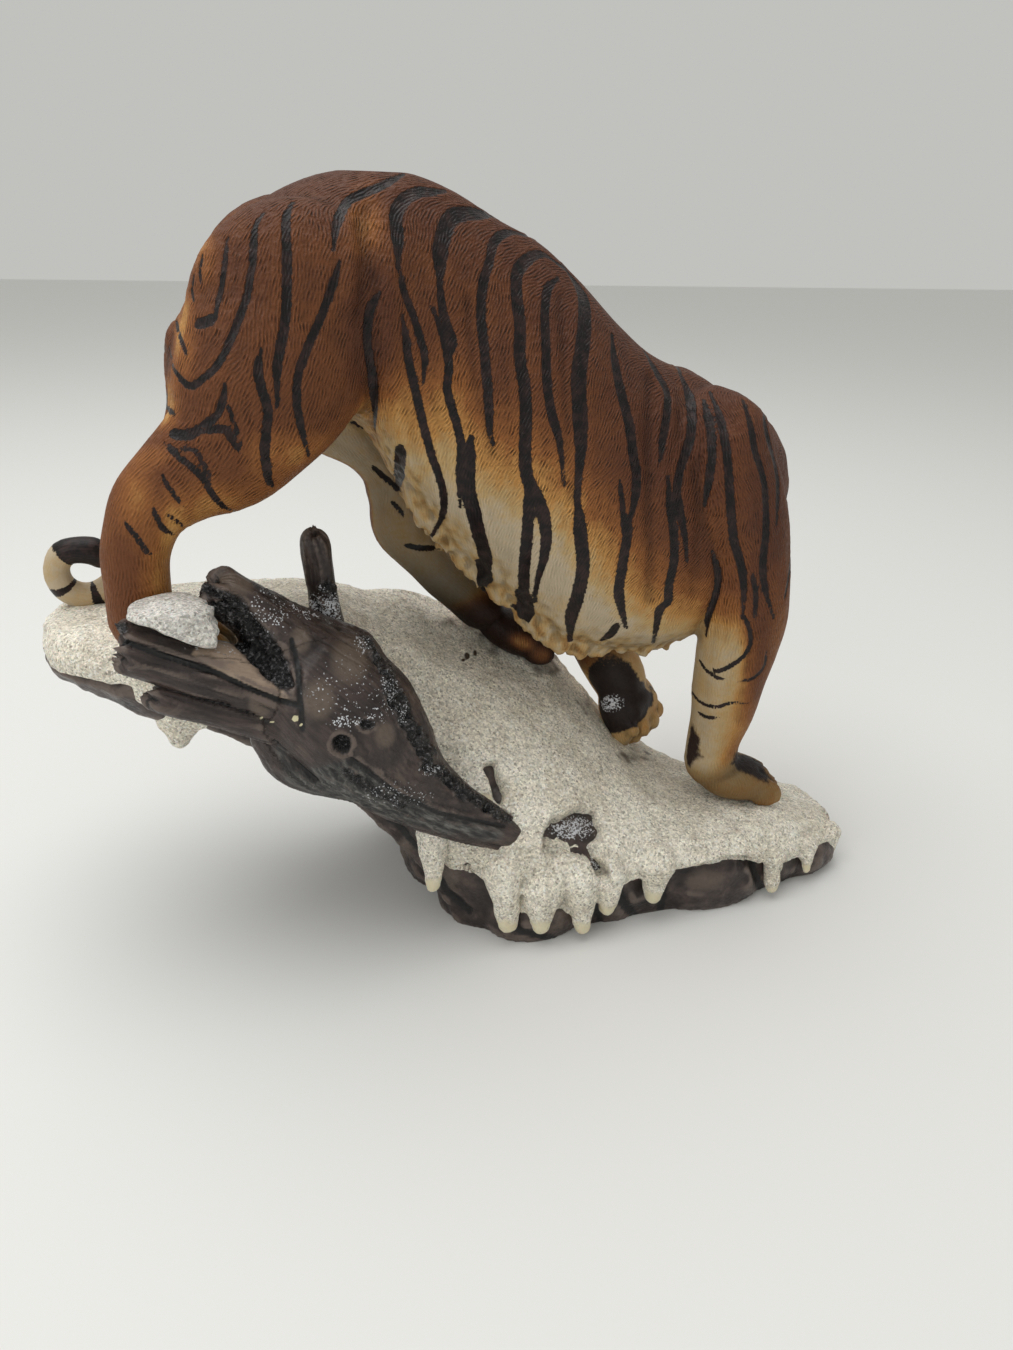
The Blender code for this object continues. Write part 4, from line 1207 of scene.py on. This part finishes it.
def tiger():
    mesh = bmesh.new()
    trunk(mesh)
    for name, stations in LIMBS.items():
        limb(mesh, stations, side=(-0.5, 0.85, 0) if name == "neck" else (0, 1, 0))
    for centre, radii in MASSES:
        ball(mesh, centre, radii)
    for foot in PAWS:
        paw(mesh, foot)
    pads(mesh, RAISED)
    fringe(mesh)
    head(mesh)
    made, points, normals = fused("tiger_body", mesh, BODY_GRAIN, 3)

    # Which limb each point is on
    section, height, reach = in_trunk(points)
    limbs = {name: track(points, rows) for name, rows in LIMBS.items()}
    face = (points - np.array(HEAD_AT)) @ HEAD_FRAME
    scores = {"trunk": reach, **{name: found["gap"] / found["radius"] for name, found in limbs.items()},
              "head": off(face, (4, 0, -1), (24, 20, 20))}
    scores["tail"][limbs["tail"]["along"] < 18] += 0.6
    table = np.array(list(scores.values()))
    weight = np.exp(-7 * (table - table.min(0)))
    share = dict(zip(scores, weight / weight.sum(0)))

    # Tone of the coat, of the feet and of the fringe
    tone = coat_tones(points, normals, face, section, height, limbs, share)
    low_foot = off(points, PAWS[2][0], (20, 16, 15))
    tone = tone + (0.21 - tone) * ramp(-low_foot, -1.3, -0.9)
    # The far hind foot is browner on its inner side: painted shade and dirt
    inward = ramp(-normals[:, 1], -0.5, 0.15)
    beside = ramp(points[:, 1], 11.5, 14.5) * ramp(-points[:, 2], -112, -102)
    far_foot = ramp(-off(points, PAWS[1][0], (26, 18, 20)), -1.5, -1.0) * beside
    tone = tone + (0.40 + 0.5 * inward - tone) * far_foot
    tuft = ramp(-height, -0.16, 0.0) * share["trunk"] * ramp(section, 3.0, 4.5) * (1 - far_foot)
    strokes = noise(points * (1, 1, 0.35), 1.7, 26)
    tone = tone + (0.15 + 0.11 * ramp(strokes, 0.0, 0.7) - 0.10 * ramp(-strokes, 0.0, 0.6)) * tuft
    body = 1 - share["head"] - share["tail"] - share["left_hind"] * ramp(160 - points[:, 2], -15, 5)
    # Coat colour patches, with a painted highlight at the hip bone and painted shade between haunch and flank and on
    # the shoulder
    patches = 0.0
    for flip in ((1, 1, 1), (1, -1, 1)):
        pixels = seen(points * flip)
        for x, y, wide, high, change in TINTS_AND_PAINTED_LIGHT:
            patches = patches + change * oval(pixels, x, y, wide, high, 1.25, 0.1) * facing(normals * flip, -0.1)
    tone = tone + np.clip(patches, -0.5, 0.5) * np.clip(body, 0, 1)

    # Muscle forms, eye sockets, ears and nostrils, before the stripes are laid on
    points = points + normals * muscles(points, normals, share)[:, None]
    for side in (-1, 1):
        points -= normals * (2.6 * np.exp(-(off(face, (15.8, side * 7.9, 4.6)) / 3.3) ** 2))[:, None]
        ear = off(face, (-4.5, side * 14.5, 17), (3.2, 4.6, 5.0))
        points -= HEAD_FRAME[:, 0] * (3.2 * ramp(-ear, -1.1, -0.4))[:, None]
        points -= normals * (0.9 * np.exp(-(off(face, (28.5, side * 2.4, -1.5)) / 1.3) ** 2))[:, None]
    set_points(made, points)

    # Stripes, pressed in with a raised rim
    data = made.data
    tree = BVHTree.FromPolygons([v.co for v in data.vertices], [p.vertices for p in data.polygons])
    stripe = nearest_lines(points, stripes_on(tree, points))
    for name, rows in LIMB_BANDS.items():
        angle = around(points, limbs[name]) if name == "tail" else -around(points, limbs[name], (1.0, 0.0, 0.0))
        stripe = np.maximum(stripe, np.where(share[name] > 0.55, bands(limbs[name], angle, rows), -FAR_OFF))
    normals = normals_of(made)
    press = 0.32 * ramp(stripe, -0.3, 0.9) - 0.16 * np.exp(-((stripe + 0.9) / 0.6) ** 2)
    points = points - normals * (press * (1 - share["tail"]))[:, None]
    set_points(made, points)
    normals = normals_of(made)

    # Dark sole and toes of the raised foot, and dark patches of the near one
    long, wide, high = RAISED[3:6]
    spot = (points - np.array(RAISED[0])) @ np.array(foot_turn(RAISED).to_3x3())
    spot = -off(spot, (0, 0, 0), (long * 1.7, wide * 1.3, high * 2.2))
    on_foot = ramp(spot, -1.25, -1.0)
    pixels = seen(points)
    front = facing(normals)
    # The dark sole outline reaches up the wrist's rear, where its darkness is painted shade as well as dark paint
    sole = ramp(flat_field(pixels, SOLE) + 4 * noise(points, 4.0, 24), -4, 5)
    pad = sole * front * ramp(share["left_fore"] + on_foot, 0.3, 0.7) * (0.55 + 0.45 * ramp(pixels[:, 1], 650, 680))
    tone = tone + (0.19 - tone) * ramp(spot, -1.7, -0.9)
    toes = np.full(len(points), -FAR_OFF)
    for foot in PAWS:
        own = (points - np.array(foot[0])) @ np.array(foot_turn(foot).to_3x3())
        toes = np.maximum(toes, nearest_lines(own, [
            (np.array([(x, y, z) for x, z in ((0.42, 0.74), (0.75, 0.5), (1.0, 0.2), (1.05, -0.3))]) * foot[3:6],
             np.full(4, 0.3)) for y in (-0.49, 0.0, 0.49)]))
    groove = ramp(toes, -1.7, 0.1)
    points = points - normals * (0.8 * groove)[:, None]
    pad = np.maximum(pad, groove * on_foot)
    russet = np.maximum.reduce([ramp(flat_field(pixels, outline) + 3.0 * noise(points, 3.0, 25), -6, 6)
                                for outline in RUSSET]) * front * (points[:, 1] < -5)
    frost = oval(pixels, 612, 703, 13, 9, 1.2, 0.4) * on_foot * front

    # Painted shade: far legs, low foot, underside and the gaps of the fringe, with dirt as well on the far hind foot
    low = -points[:, 2]
    dim = share["left_hind"] * (0.34 * ramp(low, -185, -150)
                                + (0.55 * ramp(low, -135, -100) + 0.05) * ramp(low, -160, -150))
    dim = np.maximum.reduce([dim, 0.86 * far_foot, share["left_fore"] * 0.66 * ramp(low, -125, -95) * (1 - on_foot)])
    dim = np.maximum.reduce([
        dim * ramp(-normals[:, 1], -0.5, 0.15), 0.60 * ramp(-low_foot, -1.45, -0.9),
        0.15 * share["right_fore"] * ramp(low, -125, -100),
        0.35 * share["trunk"] * ramp(-normals[:, 2], 0.5, 0.95), 0.34 * ramp(strokes, 0.0, 0.7) * tuft])

    # Furriness, and real strands along the fringe
    furry = sum(much * share[name] for name, much in (
        ("trunk", 1.0), ("right_hind", 0.8), ("left_hind", 0.5), ("right_fore", 0.7), ("left_fore", 0.5),
        ("neck", 1.0), ("head", 0.5), ("tail", 0.15)))
    furry = furry * (1 - 0.55 * ramp(-height, -0.45, 0.0) * share["trunk"])
    for name in LEGS:
        furry = furry - share[name] * 0.35 * ramp(limbs[name]["along"] / limbs[name]["length"], 0.45, 0.75)
    sideways = fur_flow(points, normals, height, limbs, share)
    points = points + normals * (0.9 * noise(points * (1, 1, 0.25), 1.9, 31) * tuft)[:, None]
    set_points(made, points)

    # Nose leather, eye rims, nostrils and the backs of the ears
    flare = 4.1 + 0.32 * (face[:, 2] + 1.5)
    nose = ramp(-np.hypot(face[:, 1] / np.maximum(flare, 1.0), (face[:, 2] + 1.2) / 3.0), -1.15, -0.85) \
        * ramp(face[:, 0], 24, 27)
    for side in (-1, 1):
        rim = off(face, (15.8, side * 7.9, 4.6), (1.6, 1.25, 1.0))
        back = off(face, (-13, side * 15, 18), (4, 7, 7))
        pad = np.maximum.reduce([
            pad, ramp(-rim, -4.4, -3.2) * ramp(face[:, 0], 5, 9),
            ramp(-off(face, (30.5, side * 2.6, -2.4)), -2.4, -1.4),
            ramp(-back, -1.15, -0.85) * ramp(off(face, (-13, side * 15.5, 19.5)), 2.2, 3.2)])
    # Painted shade is deepened in the toe grooves of the standing feet
    hand_over(made, coat_paint(), "tiger_coat", "tiger", tone=np.clip(tone, 0, 1), stripe=stripe, pad=pad, nose=nose,
              russet=russet, dim=np.clip(dim + 0.5 * groove * (1 - on_foot), 0, 0.95), frost=frost,
              furry=np.clip(furry, 0, 1.2), across=sideways, sunk=hollowness(made))


def eyes():
    mesh = bmesh.new()
    for side in (-1, 1):
        place = HEAD_FRAME @ (EYE_PLACE * (1, side, 1)) + np.array(HEAD_AT)
        ball(mesh, place, (EYE_SIZE,) * 3)
    made = smoothed(object_from("tiger_eyes", mesh))
    face = (points_of(made) - np.array(HEAD_AT)) @ HEAD_FRAME
    mirror = np.sign(face[:, 1:2]) * (0, 1, 0) + (1, 0, 1)
    out = (face - mirror * EYE_PLACE) / EYE_SIZE
    ring = np.degrees(np.arccos(np.clip((out * mirror * GAZE).sum(1), -1, 1))) / 60
    hand_over(made, eye_paint(), "tiger_coat", ring=ring)


# Log and rocks

def log():
    mesh = bmesh.new()
    for stations in BRANCHES:
        limb(mesh, stations)
    made, points, normals = fused("log", mesh, LOG_GRAIN)
    found = [track(points, rows) for rows in BRANCHES]
    which = np.array([item["gap"] / item["radius"] for item in found]).argmin(0)

    def own(values):
        """Each point's value on its own branch."""
        return np.choose(which, values) if np.ndim(values[0]) < 2 else \
            np.stack([np.choose(which, [item[:, k] for item in values]) for k in range(3)], 1)

    along, radius, gap, ahead, centre = (own([item[key] for item in found])
                                         for key in ("along", "radius", "gap", "ahead", "centre"))
    angle = own([around(points, item) for item in found])
    left = own([np.full(len(points), item["length"]) for item in found]) - along
    curl = np.minimum(radius, 1.6 * gap)
    curve = np.stack((curl * np.cos(angle), curl * np.sin(angle), along), 1)
    grain = curve / (2.4, 2.4, 26.0) + which[:, None] * 3.7
    ridges = 1.5 - 2 * np.abs(noise(grain, 1.0, 41)) - np.abs(noise(grain * 2.1, 1.0, 42))
    rough = np.choose(which, [0.28, 0.42, 0.45, 0.55, 0.55, 0.35, 0.5])
    under = ramp(-normals[:, 2], 0.0, 0.7) * (which == 0)
    lift = (rough + 0.35 * under) * ridges + 0.5 * noise(points, 9.0, 43)

    # Broken ends: the domes are cut back, then made jagged
    over = ((points - centre) * ahead).sum(1) * (left < 0.01) * np.isin(which, (1, 2, 3, 4))
    points = points - ahead * (0.5 * np.maximum(over, 0))[:, None]
    tip = ramp(-left, -7, 0) * np.isin(which, (1, 2, 3, 4, 6))
    jag = noise(curve * (1, 1, 0) + which[:, None] * 11.0, 2.6, 44) + 0.5 * noise(curve * (1, 1, 0), 1.3, 45)
    points = points + ahead * (2.2 * jag * tip)[:, None] + normals * lift[:, None]

    # Marks that the camera sees: bark, crevices, the split face, knots
    pixels = seen(points)
    front = facing(normals, 0.05, 0.35)
    inside = flat_field(pixels, HOLLOW)
    press, bark = carved(pixels, BARK, -4, (-1.5, 1.5), 2.5 * noise(points, 3.0, 47))
    bark = np.maximum(bark, ramp(inside, -2, 3))
    press = press + 2.4 * ramp(inside, -4, 7)
    crumbs = 1 - 2.4 * np.abs(noise(points, 3.0, 48)) + 0.8 * noise(points, 1.5, 49)
    split = flat_field(pixels, SPLIT)
    lines, dark = carved(pixels, CREVICES, -3, (-2.5, 1.5))
    press = press + lines - 1.2 * bark * crumbs - 0.6 * ramp(split, 0, 6)
    for x, y, size, deep in KNOTS:
        gap = off(pixels, (x, y), (1.0, 0.88)) + 3.0 * noise(points, 3.6, 46)
        press = press + 3.0 * deep * ramp(-gap, -size, -size * 0.6)
        press = press - 0.55 * deep * np.exp(-((gap - size * 1.15) / 1.6) ** 2) * ramp(pixels[:, 1] - y, -6, 4)
        bark = np.maximum(bark, ramp(-gap, -size * 1.0, -size * 0.75))
        dark = np.maximum(dark, 0.8 * deep * np.exp(-((gap - size * 0.85) / 2.0) ** 2))
    grey = ramp(flat_field(pixels, LOW_SIDE) + 3 * noise(points, 5.0, 50), -4, 6)
    set_points(made, points - normals * (press * front)[:, None])
    hand_over(made, WOOD, "dark_wood_and_rock", "base", dark=np.maximum(dark, 0.42 * (which == 6)) * front,
              tan=ramp(split, -3, 4) * front * (1 - bark), taupe=ovals(pixels, LOG_TAUPE, 1.0, 0.3) * front,
              bark=bark * front, grey=grey * front, frost=ovals(pixels, LOG_FROST, 1.2, 0.3) * front,
              cream=ovals(pixels, LOG_CREAM, 1.0, 0.5) * front,
              grain=curve / (1.3, 1.3, 9.0) + which[:, None] * 3.7, sunk=hollowness(made))


def rocks():
    mesh = bmesh.new()
    mound(mesh, SNOW_DEPTH, SNOW_OVERHANG, UNDERSIDE, 5)
    for centre, radii in BOULDERS:
        ball(mesh, centre, radii)
    made, points, normals = fused("rocks", mesh, ROCK_GRAIN)
    low = points[:, 2] < 0.6
    side = ramp(points[:, 2], 1.5, 6)
    lumps = sum(noise(points, 16.0 / 2 ** n, 51 + 7 * n) / 2 ** n for n in range(3))
    lift = np.minimum(1.3 * lumps + 0.5 * (1 - 2 * np.abs(noise(points, 6.0, 52))), 1.6)
    points = points + normals * (lift * side)[:, None]
    points[:, 2] = np.where(low, 0.0, np.maximum(points[:, 2], 0.0))
    pixels = seen(points)
    front = facing(normals)
    press, dark = carved(pixels, ROCK_CREVICES, -4, (-3, 2))
    points = points - normals * (press * front * side)[:, None]
    points[:, 2] = np.maximum(points[:, 2], 0.0)
    set_points(made, points)
    hand_over(made, WOOD, "dark_wood_and_rock", "base", dark=np.maximum(dark * front, 0.36), bark=0.0, tan=0.0,
              grey=0.0, cream=0.0, taupe=ovals(pixels, ROCK_TAUPE, 1.1, 0.3) * front,
              frost=ovals(pixels, ROCK_FROST, 1.2, 0.4) * front, grain=points / 5.0, sunk=hollowness(made))


# Snow

def drift():
    mesh = bmesh.new()
    mound(mesh, 0.0, 0.0, SNOW_EDGE, 1)
    limb(mesh, WEDGE)
    drips = [(np.array(row[0:3]), np.array(row[3:6]), row[6]) for row in DRIPS]
    for top, end, wide in drips:
        limb(mesh, [(*((1 - t) * top + t * end), *(wide * (1 - 0.58 * t),) * 2) for t in (0, 0.5, 1)])
    made, points, normals = fused("snow", mesh, SNOW_GRAIN)
    lift = sum(much * noise(points, size, seed) for much, size, seed in (
        (0.8, 15.0, 61), (0.45, 6.0, 62), (0.3, 2.6, 63), (0.18, 1.4, 64)))
    points = points + normals * (lift * ramp(points[:, 2], 2, 8))[:, None]
    pixels = seen(points)
    front = facing(normals)
    open_side = (points[:, 0] > -40) & (points[:, 1] < -20)
    hanging = 0.0
    for top, end, wide in drips:
        found = track(points, ((*top, wide, wide), (*end, wide / 2, wide / 2)))
        hanging = np.maximum(hanging, ramp(-found["gap"] / found["radius"], -1.7, -1.4))
    bare = ramp(-flat_field(pixels, SNOW_SEEN), -1.5, 4.5) * open_side * (1 - hanging)
    for outline in SNOW_HOLES:
        hole = ramp(flat_field(pixels, outline) + 2.5 * noise(points, 4.0, 67), -2.5, 3.0)
        bare = np.maximum(bare, hole * open_side)
    points = points - normals * (6.5 * bare * front)[:, None]
    set_points(made, points)
    cream = ovals(pixels, SNOW_CREAM, 1.3, 0.5)
    for top, end, wide in drips:
        tip = off(points, end - (0, 0, 2)) + 1.5 * noise(points, 4.0, 66)
        cream = np.maximum(cream, 0.9 * ramp(-tip, -wide * 1.35, -wide * 0.5))
    # Painted shadows of the feet on the snow, with dirt, and dark specks
    smudge_and_shadow = ovals(pixels, SMUDGES_AND_SHADOWS, 1.2, 0.4) * (0.65 + 0.45 * noise(points, 4.0, 65))
    dirt = np.maximum(smudge_and_shadow, ovals(pixels, SPECKS, 1.2, 0.4))
    hand_over(made, snow_paint("snow", (248, 242, 226), (228, 220, 202)), "snow", "snow_drift",
              cream=cream * front, dirt=dirt * front, sunk=hollowness(made))


def block():
    mesh = bmesh.new()
    limb(mesh, BLOCK)
    made, points, normals = fused("snow_lump", mesh, BLOCK_GRAIN)
    points = points - normals * (3.0 * ramp(-flat_field(seen(points), BLOCK_SEEN), -1, 8))[:, None]
    for axis, way, limit in ((2, 1, 133.4), (1, -1, 54.5), (0, 1, -88.0)):
        points[:, axis] -= way * 0.75 * np.maximum(way * points[:, axis] - limit, 0)
    lift = 0.35 * noise(points, 8.0, 71) + 0.3 * noise(points, 2.4, 72)
    set_points(made, points + normals * lift[:, None])
    hand_over(made, snow_paint("bright_snow", (232, 229, 222), (216, 212, 204)), "snow", "snow_block",
              cream=0.0, dirt=0.0, sunk=hollowness(made))


WOOD = wood_paint()
tiger()
eyes()
log()
rocks()
drift()
block()

# Camera

scene = bpy.context.scene
camera = bpy.data.objects.new("camera", bpy.data.cameras.new("camera"))
scene.collection.objects.link(camera)
scene.camera = camera
camera.data.sensor_width = SENSOR
camera.data.lens = FOCUS / PICTURE_HEIGHT * SENSOR
turn = Matrix((RIGHT, -DOWN, -AHEAD)).transposed().to_4x4()
camera.matrix_world = Matrix.Translation(Vector(EYE + ORIGIN) * MM) @ turn
camera.data.clip_start = 0.01
camera.data.clip_end = 20.0

# Floor, world and lamps

floor_data = bpy.data.meshes.new("floor")
floor_data.from_pydata([(-3, -3, 0), (3, -3, 0), (3, 3, 0), (-3, 3, 0)], [], [(0, 1, 2, 3)])
floor = bpy.data.objects.new("floor", floor_data)
scene.collection.objects.link(floor)
floor_data.materials.append(Paint("floor").set(Base_Color=(0.80, 0.80, 0.78, 1.0), Roughness=0.7,
                                               Specular_IOR_Level=0.2))

scene.world = bpy.data.worlds.new("studio")
scene.world.use_nodes = True
sky = scene.world.node_tree.nodes["Background"].inputs
sky["Color"].default_value = (0.62, 0.62, 0.60, 1.0)
sky["Strength"].default_value = 0.86


def lamp(name, at, aim, size, power):
    data = bpy.data.lights.new(name, "AREA")
    data.shape = "DISK"
    data.size = size
    data.energy = power
    made = bpy.data.objects.new(name, data)
    scene.collection.objects.link(made)
    made.location = at
    made.rotation_euler = (Vector(aim) - Vector(at)).to_track_quat("-Z", "Y").to_euler()


lamp("key", (-0.25, 0.10, 1.15), (0, 0, 0.05), 1.3, 8.5)
lamp("fill", (-0.9, -0.8, 0.7), (0, 0, 0.12), 0.7, 2.4)

scene.view_settings.view_transform = "Standard"
